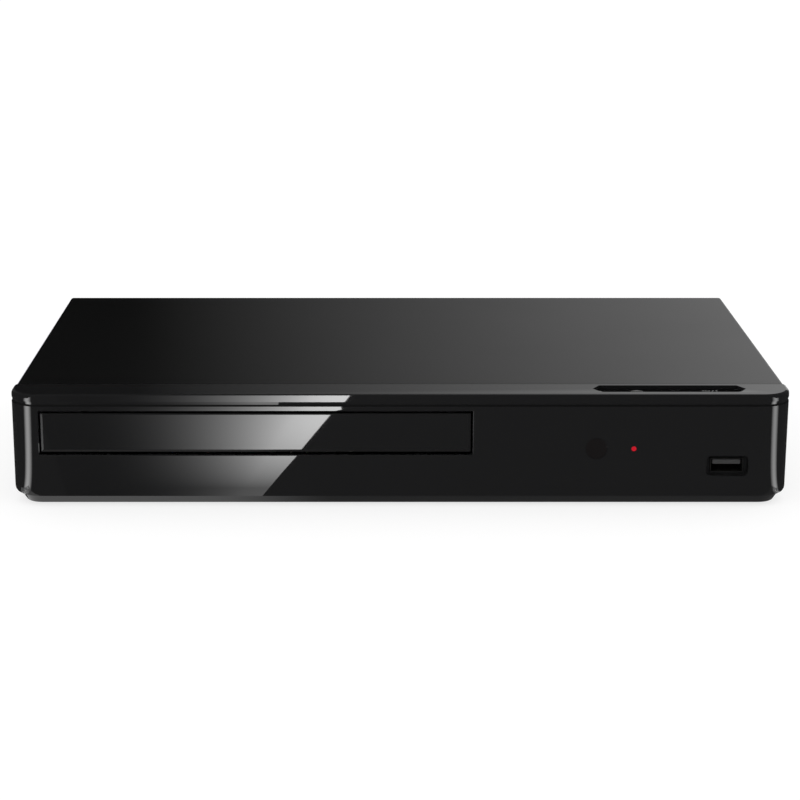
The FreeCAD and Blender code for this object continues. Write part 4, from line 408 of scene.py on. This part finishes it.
def softened(node, width, material, body, steps=2, name=None, shape=None,
             level_crease=crisp_angle):
    """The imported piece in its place, with its edges rounded by `width` millimetres. `shape`
    works on its mesh first. Edges sharper than the crisp angle stay crisp, and level ones
    sharper than `level_crease`, both in degrees."""
    mesh = nodes[node].data.copy()
    mesh.attributes.remove(mesh.attributes["custom_normal"])
    work = bmesh.new()
    work.from_mesh(mesh)
    bmesh.ops.remove_doubles(work, verts=work.verts, dist=merge_distance)
    bmesh.ops.dissolve_limit(work, angle_limit=radians(flat_angle), verts=work.verts,
                             edges=work.edges)
    if shape:
        shape(work)
    for face in work.faces:
        face.smooth = True
    for edge in work.edges:
        first, last = edge.verts
        level = abs(first.co.z - last.co.z) < level_drop
        limit = level_crease if level else crisp_angle
        edge.smooth = edge.calc_face_angle(pi) < radians(limit)
    work.to_mesh(mesh)
    work.free()
    piece = bpy.data.objects.new(name or f"{node}_finished", mesh)
    scene.collection.objects.link(piece)
    rounding = piece.modifiers.new("rounding", "BEVEL")
    rounding.width = width * MM
    rounding.segments = steps
    rounding.limit_method = "ANGLE"
    rounding.angle_limit = radians(rounding_angle)
    rounding.harden_normals = True
    plain_mesh(piece)
    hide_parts(node)
    return fit_out(piece, material, body)


def dress(material, *names):
    """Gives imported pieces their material."""
    for name in names:
        for place in nodes[name].material_slots:
            place.material = material


galvanised_steel = finish("galvanised_steel", spangled_surface, (0.5, 0.51, 0.52), 0.36,
                          metallic=1.0, tone=0.35, patches=260.0, sheen_change=0.25,
                          grain=900.0, depth=0.01)
softened("bottom_chassis", 0.12, galvanised_steel, "root", 1)
softened("clamp_bridge", 0.15, galvanised_steel, "root", 1)


# Four feet of black rubber with a fine pebbled skin, moulded as discs with a softened rim
# and glued under the corners of the pan.

def mould_pattern(group, given, place):
    return (noise(group, given, place, "Patch Scale", 4.0),
            noise(group, given, place, "Grain Scale", 2.0))


moulded_surface = surface_group("moulded_surface", mould_pattern)
foot_rubber = finish("foot_rubber", moulded_surface, (0.022, 0.022, 0.022), 0.8, tone=0.4,
                     patches=300.0, grain=2500.0, depth=0.04)
softened("feet", 0.3, foot_rubber, "root")


# Drive: a black glass filled plastic deck on four soft rubber dampers. The tilting traverse,
# the pickup's sled and the disc clamp are moulded in the same plastic.

drive_plastic = finish("drive_plastic", moulded_surface, (0.03, 0.03, 0.032), 0.5, tone=0.3,
                       patches=80.0, grain=1800.0, depth=0.03)
softened("drive_frame", 0.15, drive_plastic, "root", 1)
softened("traverse_frame", 0.15, drive_plastic, "traverse", 1)
softened("clamper", 0.2, drive_plastic, "clamper_body")
softened("pickup_sled", 0.15, drive_plastic, "pickup", 1)
damper_rubber = finish("damper_rubber", moulded_surface, (0.06, 0.055, 0.05), 0.75, tone=0.3,
                       patches=400.0, grain=2000.0)
softened("drive_dampers", 0.3, damper_rubber, "root")
zinc_plate = finish("zinc_plate", moulded_surface, (0.62, 0.62, 0.6), 0.3, metallic=1.0,
                    patches=200.0)
dress(zinc_plate, "drive_screws", "board_screws")


# Motors in drawn steel cans, ground guide rods and the turned aluminium turntable. Drawing,
# grinding and turning leave fine lines in the metal.

line_squeeze = 14.0


def line_pattern(group, given, place):
    stretch = group.nodes.new("ShaderNodeVectorMath")
    stretch.operation = "MULTIPLY"
    stretch.inputs[1].default_value = (1.0, 1.0, line_squeeze)
    group.links.new(place, stretch.inputs[0])
    return (noise(group, given, stretch.outputs[0], "Patch Scale", 3.0),
            noise(group, given, stretch.outputs[0], "Grain Scale", 1.0))


lined_surface = surface_group("lined_surface", line_pattern)
motor_steel = finish("motor_steel", lined_surface, (0.55, 0.55, 0.55), 0.3, metallic=1.0,
                     patches=150.0, grain=300.0, depth=0.01)
softened("loading_motor", 0.4, motor_steel, "root")
softened("spindle_motor", 0.4, motor_steel, "traverse")
softened("feed_motor", 0.3, motor_steel, "traverse")
rod_steel = finish("rod_steel", lined_surface, (0.7, 0.7, 0.7), 0.12, metallic=1.0,
                   sheen_change=0.05, patches=90.0, grain=400.0, depth=0.003)
softened("guide_rods", 0.2, rod_steel, "traverse")
turned_aluminium = finish("turned_aluminium", lined_surface, (0.65, 0.65, 0.66), 0.28,
                          metallic=1.0, patches=200.0, grain=500.0, depth=0.01)
softened("turntable", 0.2, turned_aluminium, "turntable_body")


# Gears, pulleys and the cam slider, injection moulded in natural acetal, which runs without
# oil on the deck's pins. A square rubber belt carries the loading motor's turns to them.

acetal = finish("acetal", moulded_surface, (0.78, 0.76, 0.7), 0.42, tone=0.08, grain=1200.0,
                Subsurface_Weight=0.1, Subsurface_Scale=0.001)
for gear, body in (("tray_gear", "tray_gear_body"), ("pulley_gear", "pulley_gear_body"),
                   ("motor_pulley", "motor_pulley_body"), ("feed_gear", "feed_gear_body"),
                   ("feed_motor_gear", "feed_motor_gear_body"), ("cam_slider", "cam_slider_body")):
    softened(gear, 0.08, acetal, body, 1)
belt_rubber = finish("belt_rubber", moulded_surface, (0.02, 0.02, 0.02), 0.6)
dress(belt_rubber, "loading_belt")


# Pickup lens, moulded in clear glass with a violet coating against stray light, and
# cemented into its seat on top of the sled.

lens_glass = finish("lens_glass", moulded_surface, (0.10, 0.10, 0.32), 0.05, tone=0.1,
                    sheen_change=0.01, grain=300.0, depth=0.0, Coat_Weight=1.0,
                    Coat_Roughness=0.02)
dress(lens_glass, "objective_lens")


# Boards: green glass fibre for the drive and the main circuits, tan paper board for the rest.
# Copper tracks under the lacquer stand out a little lighter and higher.

def track_pattern(group, given, place):
    tracks = group.nodes.new("ShaderNodeTexBrick")
    tracks.inputs["Color1"].default_value = (0.35, 0.35, 0.35, 1)
    tracks.inputs["Color2"].default_value = (0.5, 0.5, 0.5, 1)
    tracks.inputs["Mortar"].default_value = (1, 1, 1, 1)
    tracks.inputs["Mortar Size"].default_value = 0.035
    tracks.inputs["Brick Width"].default_value = 1.7
    tracks.inputs["Row Height"].default_value = 0.24
    group.links.new(place, tracks.inputs["Vector"])
    group.links.new(given.outputs["Patch Scale"], tracks.inputs["Scale"])
    copper = group.nodes.new("ShaderNodeSeparateColor")
    group.links.new(tracks.outputs["Color"], copper.inputs["Color"])
    return copper.outputs["Red"], copper.outputs["Red"]


board_surface = surface_group("board_surface", track_pattern)
board_green = finish("board_green", board_surface, (0.02, 0.12, 0.045), 0.35, tone=1.2,
                     patches=150.0, depth=0.03)
softened("main_board", 0.1, board_green, "root", 1)
softened("drive_board", 0.1, board_green, "root", 1)
board_tan = finish("board_tan", board_surface, (0.40, 0.26, 0.12), 0.5, tone=0.35,
                   patches=110.0, depth=0.02)
for board in ("power_board", "front_board", "button_board"):
    softened(board, 0.1, board_tan, "root", 1)


# Parts soldered to the boards: moulded chips and switches, aluminium capacitor cans, finned
# heat sinks, the ferrite transformer and nylon connectors, with the flat cables and wires
# between them.

chip_black = finish("chip_black", moulded_surface, (0.02, 0.02, 0.02), 0.5, grain=3000.0)
softened("board_chips", 0.15, chip_black, "root")
dress(chip_black, "button_switches", "ir_receiver")
can_aluminium = finish("can_aluminium", lined_surface, (0.72, 0.73, 0.74), 0.3, metallic=1.0,
                       patches=120.0, grain=500.0, depth=0.01)
for can in ("main_board_capacitors", "mains_capacitor", "output_capacitors"):
    softened(can, 0.25, can_aluminium, "root")
sink_aluminium = finish("sink_aluminium", lined_surface, (0.6, 0.61, 0.62), 0.35, metallic=1.0,
                        patches=90.0, grain=350.0)
softened("heat_sink", 0.12, sink_aluminium, "root", 1)
softened("switching_heat_sink", 0.12, sink_aluminium, "root", 1)
ferrite = finish("ferrite", moulded_surface, (0.07, 0.07, 0.075), 0.55, tone=0.4, patches=200.0)
softened("transformer", 0.3, ferrite, "root")
white_nylon = finish("white_nylon", moulded_surface, (0.8, 0.79, 0.73), 0.45, tone=0.06)
softened("cable_connectors", 0.15, white_nylon, "root", 1)
dress(white_nylon, "open_close_plunger", "power_plunger")
flat_cable = finish("flat_cable", moulded_surface, (0.8, 0.8, 0.8), 0.4, tone=0.1, patches=400.0)
dress(flat_cable, "front_cable", "drive_cable")
wire_grey = finish("wire_grey", moulded_surface, (0.3, 0.3, 0.32), 0.45)
dress(wire_grey, "power_cable")


# Small surface mounted resistors, soldered to the main board by reflow. Each is a dark
# ceramic chip with tinned ends. Sizes and places are shares of the chip's length.

chip_size = (0.62, 0.5, 0.34)
end_size = (0.2, 0.54, 0.38)
end_place = 0.4


def scatter_group():
    group = bpy.data.node_groups.new("scattered_chips", "GeometryNodeTree")
    group.is_modifier = True
    for label, kind in (("Area", "NodeSocketGeometry"), ("Spacing", "NodeSocketFloat"),
                        ("Seed", "NodeSocketInt"), ("Length", "NodeSocketFloat"),
                        ("Body", "NodeSocketMaterial"), ("Ends", "NodeSocketMaterial")):
        group.interface.new_socket(label, in_out="INPUT", socket_type=kind)
    group.interface.new_socket("Chips", in_out="OUTPUT", socket_type="NodeSocketGeometry")
    given = group.nodes.new("NodeGroupInput")
    result = group.nodes.new("NodeGroupOutput")
    link = group.links.new

    def lengths(factors):
        """A vector of these shares of the chip's length."""
        vector = group.nodes.new("ShaderNodeCombineXYZ")
        for axis, factor in enumerate(factors):
            scale = group.nodes.new("ShaderNodeMath")
            scale.operation = "MULTIPLY"
            scale.inputs[1].default_value = factor
            link(given.outputs["Length"], scale.inputs[0])
            link(scale.outputs[0], vector.inputs[axis])
        return vector.outputs[0]

    joined = group.nodes.new("GeometryNodeJoinGeometry")
    for size, places in ((chip_size, (0.0,)), (end_size, (-end_place, end_place))):
        block = group.nodes.new("GeometryNodeMeshCube")
        link(lengths(size), block.inputs["Size"])
        marked = group.nodes.new("GeometryNodeStoreNamedAttribute")
        marked.data_type = "BOOLEAN"
        marked.domain = "FACE"
        marked.inputs["Name"].default_value = "tinned_end"
        marked.inputs["Value"].default_value = size is end_size
        link(block.outputs["Mesh"], marked.inputs["Geometry"])
        for place in places:
            moved = group.nodes.new("GeometryNodeTransform")
            link(marked.outputs["Geometry"], moved.inputs["Geometry"])
            link(lengths((place, 0.0, size[2] / 2)), moved.inputs["Translation"])
            link(moved.outputs["Geometry"], joined.inputs["Geometry"])
    spread = group.nodes.new("GeometryNodeDistributePointsOnFaces")
    spread.distribute_method = "POISSON"
    spread.inputs["Density Max"].default_value = 1e6
    link(given.outputs["Area"], spread.inputs["Mesh"])
    link(given.outputs["Spacing"], spread.inputs["Distance Min"])
    link(given.outputs["Seed"], spread.inputs["Seed"])
    quarter = group.nodes.new("FunctionNodeRandomValue")
    quarter.data_type = "INT"
    link(given.outputs["Seed"], quarter.inputs["Seed"])
    whole = [socket for socket in quarter.inputs if socket.type == "INT" and socket.name != "Seed"]
    whole[0].default_value = 0
    whole[1].default_value = 1
    turn = group.nodes.new("ShaderNodeMath")
    turn.operation = "MULTIPLY"
    turn.inputs[1].default_value = pi / 2
    link([socket for socket in quarter.outputs if socket.type == "INT"][0], turn.inputs[0])
    angle = group.nodes.new("ShaderNodeCombineXYZ")
    link(turn.outputs[0], angle.inputs["Z"])
    copies = group.nodes.new("GeometryNodeInstanceOnPoints")
    link(spread.outputs["Points"], copies.inputs["Points"])
    link(joined.outputs["Geometry"], copies.inputs["Instance"])
    link(angle.outputs[0], copies.inputs["Rotation"])
    real = group.nodes.new("GeometryNodeRealizeInstances")
    link(copies.outputs["Instances"], real.inputs["Geometry"])
    bodies = group.nodes.new("GeometryNodeSetMaterial")
    link(real.outputs["Geometry"], bodies.inputs["Geometry"])
    link(given.outputs["Body"], bodies.inputs["Material"])
    is_end = group.nodes.new("GeometryNodeInputNamedAttribute")
    is_end.data_type = "BOOLEAN"
    is_end.inputs["Name"].default_value = "tinned_end"
    ends = group.nodes.new("GeometryNodeSetMaterial")
    link(bodies.outputs["Geometry"], ends.inputs["Geometry"])
    link(is_end.outputs["Attribute"], ends.inputs["Selection"])
    link(given.outputs["Ends"], ends.inputs["Material"])
    link(ends.outputs["Geometry"], result.inputs["Chips"])
    return group


def run_group(piece, group, **values):
    """Runs a geometry node group on a piece and keeps the plain result."""
    modifier = piece.modifiers.new(group.name, "NODES")
    modifier.node_group = group
    for socket in group.interface.items_tree:
        if socket.in_out == "INPUT" and socket.name in values:
            modifier[socket.identifier] = values[socket.name]
    plain_mesh(piece)


def flat_patch(name, x0, x1, y0, y1, z):
    mesh = bpy.data.meshes.new(name)
    corners = [(x0, y0, z), (x1, y0, z), (x1, y1, z), (x0, y1, z)]
    mesh.from_pydata([Vector(corner) * MM for corner in corners], [], [(0, 1, 2, 3)])
    piece = bpy.data.objects.new(name, mesh)
    scene.collection.objects.link(piece)
    return piece


scattered_chips = scatter_group()
main_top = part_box("main_board")[1].z / MM
solder_gap = 0.01
ceramic = finish("ceramic", moulded_surface, (0.03, 0.03, 0.035), 0.4, patches=600.0)
tinned = finish("tinned", moulded_surface, (0.7, 0.7, 0.68), 0.25, metallic=1.0, patches=500.0)
for name, area, seed in (("rear_resistors", (46, 84, 47, 64), 3),
                         ("front_resistors", (52, 68, -18, -5), 8)):
    chips = flat_patch(name, *area, main_top + solder_gap)
    run_group(chips, scattered_chips, Spacing=2.6 * MM, Seed=seed, Length=1.5 * MM,
              Body=ceramic, Ends=tinned)
    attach(chips, "root")


# Disc tray, moulded in black plastic with a fine spark eroded texture, and its door, a gloss
# black moulding clipped to the tray's front.

tray_plastic = finish("tray_plastic", moulded_surface, (0.03, 0.03, 0.031), 0.45, patches=60.0,
                      grain=2600.0, depth=0.05)
softened("disc_tray", 0.15, tray_plastic, "tray", 1)
gloss_black = finish("gloss_black", moulded_surface, (0.0103, 0.0103, 0.0106), 0.025, tone=0.1,
                     patches=25.0, sheen_change=0.012, grain=60.0, depth=0.0015)
door = softened("tray_door", 0.12, gloss_black, "tray", 3)


def paint_faces(piece, material, chosen):
    """Gives the faces of which chosen(middle in millimetres, normal) is true a second finish."""
    piece.data.materials.append(material)
    for face in piece.data.polygons:
        if chosen(face.center / MM, face.normal):
            face.material_index = len(piece.data.materials) - 1


satin_edge = finish("satin_edge", moulded_surface, (0.0103, 0.0103, 0.0106), 0.3, tone=0.1,
                    patches=40.0, grain=2600.0, depth=0.01, Specular_IOR_Level=0.18)
front_slope = -0.985
side_slope = -0.3
paint_faces(door, satin_edge, lambda middle, normal: front_slope < normal.y < side_slope)


# Front panel, one gloss black moulding that wraps the top, the front and both sides. The
# seam under its cap is a sharp groove, whose upward faces get a near black matt finish as
# painted shade where no light gets in.

panel = softened("front_panel", 0.15, gloss_black, "root", 2,
                 level_crease=12)
cap_height = 4.3
seam_width = 0.7
seam_margin = 0.1
seam_slope = 0.25
seam_top = cad_box[1][2] / MM - cap_height
seam_foot = seam_top - seam_width
# Painted shade: darker, duller and less shiny than the panel, in place of the groove's shadow.
seam_painted_shade = finish("seam_painted_shade", moulded_surface, (0.0035, 0.0035, 0.0035), 0.6, tone=0.2,
                   grain=2600.0, Specular_IOR_Level=0.25)
paint_faces(panel, seam_painted_shade, lambda middle, normal: normal.z > seam_slope
            and seam_foot - seam_margin < middle.z < seam_top + seam_margin)


# The two buttons lie in the finger groove. They are black like the panel, set much darker as
# painted shade for the dim groove. Each carries a small printed mark: a triangle over a bar
# to open, a broken ring with a line and a bar for power.

button_black_with_painted_shade = finish("button_black_with_painted_shade", moulded_surface, (0.001, 0.001, 0.001), 0.05, tone=0.1,
                      patches=60.0, sheen_change=0.012, grain=60.0, depth=0.001)
end_chamfer = 0.9 * MM
end_margin = 0.05 * MM
slope_drop = 1.8 * MM
shortest_end = 3.0 * MM


def chamfer_ends(work):
    """Cuts the two top edges at the button's ends, which catch the light."""
    sides = [side(vert.co.x for vert in work.verts) for side in (min, max)]
    top = max(vert.co.z for vert in work.verts)
    ends = [edge for edge in work.edges
            if any(all(abs(vert.co.x - side) < end_margin and top - vert.co.z < slope_drop
                       for vert in edge.verts) for side in sides)
            and abs(edge.verts[0].co.y - edge.verts[1].co.y) > shortest_end]
    bmesh.ops.bevel(work, geom=ends, offset=end_chamfer, offset_type="OFFSET", segments=2,
                    profile=0.5, affect="EDGES")


def closed_piece(name, work, material, body):
    """A new piece of the closed forms in `work`, with all faces turned outwards."""
    bmesh.ops.recalc_face_normals(work, faces=work.faces)
    mesh = bpy.data.meshes.new(name)
    work.to_mesh(mesh)
    work.free()
    return fit_out(bpy.data.objects.new(name, mesh), material, body)


for button, body in (("open_close_button", "open_close"), ("power_button", "power")):
    softened(button, 0.1, button_black_with_painted_shade, body, 2, shape=chamfer_ends)
groove_front_y = front_mm + 4.0
groove_length = 10.35
groove_depth = 1.5
mark_setback = 3.6
mark_under = -0.03
mark_over = 0.02
mark_ink = finish("mark_ink", moulded_surface, (0.2, 0.2, 0.2), 0.5, grain=3000.0, depth=0.005)


def printed_mark(name, node, body, outlines):
    """Flat print on a button's sloping top; outlines are in millimetres round the mark's middle."""
    low, high = (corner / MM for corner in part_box(node))
    middle_x = (low.x + high.x) / 2
    middle_y = groove_front_y + mark_setback
    work = bmesh.new()
    for outline in outlines:
        rings = []
        for lift in (mark_under, mark_over):
            ring = []
            for x, y in outline:
                drop = groove_depth * (middle_y + y - groove_front_y) / groove_length
                place = Vector((middle_x + x, middle_y + y, cad_box[1][2] / MM - drop + lift))
                ring.append(work.verts.new(place * MM))
            rings.append(ring)
        under, over = rings
        work.faces.new(over)
        work.faces.new(under[::-1])
        for i, vert in enumerate(over):
            work.faces.new((under[i - 1], under[i], vert, over[i - 1]))
    closed_piece(name, work, mark_ink, body)


def arc(radius, first, last, steps=20):
    angles = [radians(first + (last - first) * i / steps) for i in range(steps + 1)]
    return [(radius * cos(angle), radius * sin(angle)) for angle in angles]


printed_mark("open_mark", "open_close_button", "open_close",
             [[(-2.4, -0.5), (2.4, -0.5), (0.0, 1.7)],
              [(-2.4, -1.6), (2.4, -1.6), (2.4, -1.0), (-2.4, -1.0)]])
ring = [(x - 1.4, y) for x, y in arc(1.6, 125, 415) + arc(1.15, 415, 125)]
printed_mark("power_mark", "power_button", "power",
             [ring, [(-1.65, 0.3), (-1.15, 0.3), (-1.15, 1.8), (-1.65, 1.8)],
              [(0.5, -1.6), (1.0, -1.6), (2.0, 1.6), (1.5, 1.6)],
              [(2.5, -1.4), (3.0, -1.4), (3.0, 1.4), (2.5, 1.4)]])


# Sensor window of smoked acrylic, snapped in flush with the panel, and the lamp: a moulded
# light pipe of red acrylic in front of its diode on the board.

smoked_acrylic = finish("smoked_acrylic", moulded_surface, (0.0085, 0.0075, 0.0075), 0.03,
                        tone=0.2, patches=60.0, sheen_change=0.01, grain=80.0, depth=0.0)
softened("sensor_window", 0.12, smoked_acrylic, "root")
red_acrylic = finish("red_acrylic", moulded_surface, (0.4, 0.006, 0.015), 0.15, tone=0.1,
                     sheen_change=0.02, Emission_Color=(1.0, 0.01, 0.03, 1),
                     Emission_Strength=0.16)
softened("led_lens", 0.1, red_acrylic, "root")
dress(red_acrylic, "standby_led")


# Front socket: a plated steel shell round a black tongue with four gold plated contacts, and
# two springs in the shell's floor that grip the plug.

def ribbons(name, path, width, thickness, places, material, body):
    """Strips bent along `path`, a list of (y, z), at each x of `places`, in millimetres."""
    work = bmesh.new()
    for x in places:
        rings = []
        for y, z in path:
            corners = ((-1, 0), (1, 0), (1, 1), (-1, 1))
            rings.append([work.verts.new(Vector((x + side * width / 2, y, z + up * thickness)) * MM)
                          for side, up in corners])
        for first, last in zip(rings, rings[1:]):
            for i in range(4):
                work.faces.new((first[i - 1], first[i], last[i], last[i - 1]))
        work.faces.new(rings[0])
        work.faces.new(rings[-1])
    return closed_piece(name, work, material, body)


plated_shell = finish("plated_shell", moulded_surface, (0.6, 0.6, 0.58), 0.28, metallic=1.0,
                      patches=200.0)
tongue_black = finish("tongue_black", moulded_surface, (0.05, 0.05, 0.05), 0.4, tone=0.2,
                      patches=300.0)
gold_plate = finish("gold_plate", lined_surface, (0.85, 0.62, 0.24), 0.22, metallic=1.0,
                    patches=300.0, grain=800.0, depth=0.005)
# Painted shade: the plated shell and its springs get a dark grey, not their bright metal, for the
# shade inside the socket.
painted_shade_plate = finish("painted_shade_plate", moulded_surface, (0.16, 0.16, 0.155), 0.45, metallic=1.0,
                    patches=200.0)
softened("usb_shell", 0.08, painted_shade_plate, "root", 1)
softened("usb_tongue", 0.15, tongue_black, "root")
shell_low, shell_high = (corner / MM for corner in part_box("usb_shell"))
usb_x = (shell_low.x + shell_high.x) / 2
mouth_y = shell_low.y
shell_wall = 0.35
gap_over_tongue = 0.6
tongue_thickness = 1.9
contact_proud = 0.02
contact_thickness = 0.05
contact_z = shell_high.z - shell_wall - gap_over_tongue - tongue_thickness - contact_proud
ribbons("usb_contacts", [(mouth_y + 1.8, contact_z), (mouth_y + 9.0, contact_z)], 1.0,
        contact_thickness, [usb_x + place for place in (-3.5, -1.0, 1.0, 3.5)], gold_plate,
        "root")
shell_floor = shell_low.z + shell_wall
spring_bends = ((1.0, 0.0), (2.2, 0.35), (4.0, 0.3), (6.5, 0.0))
ribbons("usb_springs", [(mouth_y + inward, shell_floor + rise) for inward, rise in spring_bends],
        1.7, 0.12, [usb_x - 3.0, usb_x + 3.0], painted_shade_plate, "root")


# Rear panel of steel, painted matt black. Its sockets stand on the boards: a plated video
# socket with a tongue, a network socket with eight sprung wires, an optical one, and the
# mains inlet with two steel pins.

def row_group():
    group = bpy.data.node_groups.new("row_of_copies", "GeometryNodeTree")
    group.is_modifier = True
    for label, kind in (("Piece", "NodeSocketGeometry"), ("Count", "NodeSocketInt"),
                        ("Step", "NodeSocketVector"), ("Finish", "NodeSocketMaterial")):
        group.interface.new_socket(label, in_out="INPUT", socket_type=kind)
    group.interface.new_socket("Row", in_out="OUTPUT", socket_type="NodeSocketGeometry")
    given = group.nodes.new("NodeGroupInput")
    result = group.nodes.new("NodeGroupOutput")
    line = group.nodes.new("GeometryNodeMeshLine")
    copies = group.nodes.new("GeometryNodeInstanceOnPoints")
    real = group.nodes.new("GeometryNodeRealizeInstances")
    paint = group.nodes.new("GeometryNodeSetMaterial")
    link = group.links.new
    link(given.outputs["Count"], line.inputs["Count"])
    link(given.outputs["Step"], line.inputs["Offset"])
    link(line.outputs["Mesh"], copies.inputs["Points"])
    link(given.outputs["Piece"], copies.inputs["Instance"])
    link(copies.outputs["Instances"], real.inputs["Geometry"])
    link(real.outputs["Geometry"], paint.inputs["Geometry"])
    link(given.outputs["Finish"], paint.inputs["Material"])
    link(paint.outputs["Geometry"], result.inputs["Row"])
    return group


row_of_copies = row_group()
matt_black_paint = finish("matt_black_paint", moulded_surface, (0.012, 0.012, 0.012), 0.55,
                          grain=2200.0, depth=0.03)
softened("rear_panel", 0.12, matt_black_paint, "root", 1)
socket_black = finish("socket_black", moulded_surface, (0.015, 0.015, 0.015), 0.4)
softened("lan_socket", 0.25, socket_black, "root", 1)
softened("optical_socket", 0.25, socket_black, "root", 1)
inlet_x = sum(corner.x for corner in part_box("power_inlet")) / 2 / MM
pin_nearest = 3.5
pin_farthest = 5.0


def is_pin(middle):
    return pin_nearest < abs(middle.x - inlet_x) < pin_farthest


softened("power_inlet", 0.3, socket_black, "root", 2, "inlet_block",
         lambda work: keep_solids(work, lambda middle: not is_pin(middle)))
softened("power_inlet", 0.4, plated_shell, "root", 2, "inlet_pins",
         lambda work: keep_solids(work, is_pin))
hdmi_low, hdmi_high = (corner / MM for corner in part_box("hdmi_socket"))
hdmi_x = (hdmi_low.x + hdmi_high.x) / 2
tongue_middle = 3.1
tongue_margin = 0.1


def is_tongue(middle):
    return abs(middle.z - hdmi_low.z - tongue_middle) < tongue_margin


softened("hdmi_socket", 0.08, plated_shell, "root", 1, "hdmi_shell",
         lambda work: keep_solids(work, lambda middle: not is_tongue(middle)))
softened("hdmi_socket", 0.1, tongue_black, "root", 1, "hdmi_tongue",
         lambda work: keep_solids(work, is_tongue))
for name, rise, count in (("hdmi_upper_contacts", 3.69, 10), ("hdmi_lower_contacts", 2.46, 9)):
    contact_z = hdmi_low.z + rise
    row = ribbons(name, [(hdmi_high.y - 6.5, contact_z), (hdmi_high.y - 1.7, contact_z)], 0.45,
                  contact_thickness, [hdmi_x - (count - 1) / 2], gold_plate, "root")
    run_group(row, row_of_copies, Count=count, Step=(MM, 0, 0), Finish=gold_plate)
lan_low, lan_high = (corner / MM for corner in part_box("lan_socket"))
lan_x = (lan_low.x + lan_high.x) / 2
plug_rise = 3.2
plug_height = 7.2
plug_top = lan_low.z + plug_rise + plug_height
wire_count = 8
wire_spacing = 1.02
wire_bends = ((1.0, 0.3), (2.2, 0.35), (8.5, 3.2), (9.6, 3.4))
wire_path = [(lan_high.y - inward, plug_top - drop) for inward, drop in wire_bends]
lan_wires = ribbons("lan_wires", wire_path, 0.5, 0.25,
                    [lan_x - (wire_count - 1) / 2 * wire_spacing], gold_plate,
                    "root")
run_group(lan_wires, row_of_copies, Count=wire_count, Step=(wire_spacing * MM, 0, 0),
          Finish=gold_plate)


# Top cover of thin sheet steel, bent into a U with a rear lip and painted satin black. Seven
# black screws hold it at its sides and lip, and three more hold the rear panel to the pan.

satin_black_paint = finish("satin_black_paint", moulded_surface, (0.0095, 0.0095, 0.0097), 0.3,
                           tone=0.12, patches=18.0, sheen_change=0.03, grain=1600.0,
                           depth=0.012, IOR=1.4)
softened("top_cover", 0.15, satin_black_paint, "root", 2)
black_screw = finish("black_screw", moulded_surface, (0.02, 0.02, 0.02), 0.35, metallic=0.6,
                     patches=300.0)
softened("case_screws", 0.1, black_screw, "root", 1)
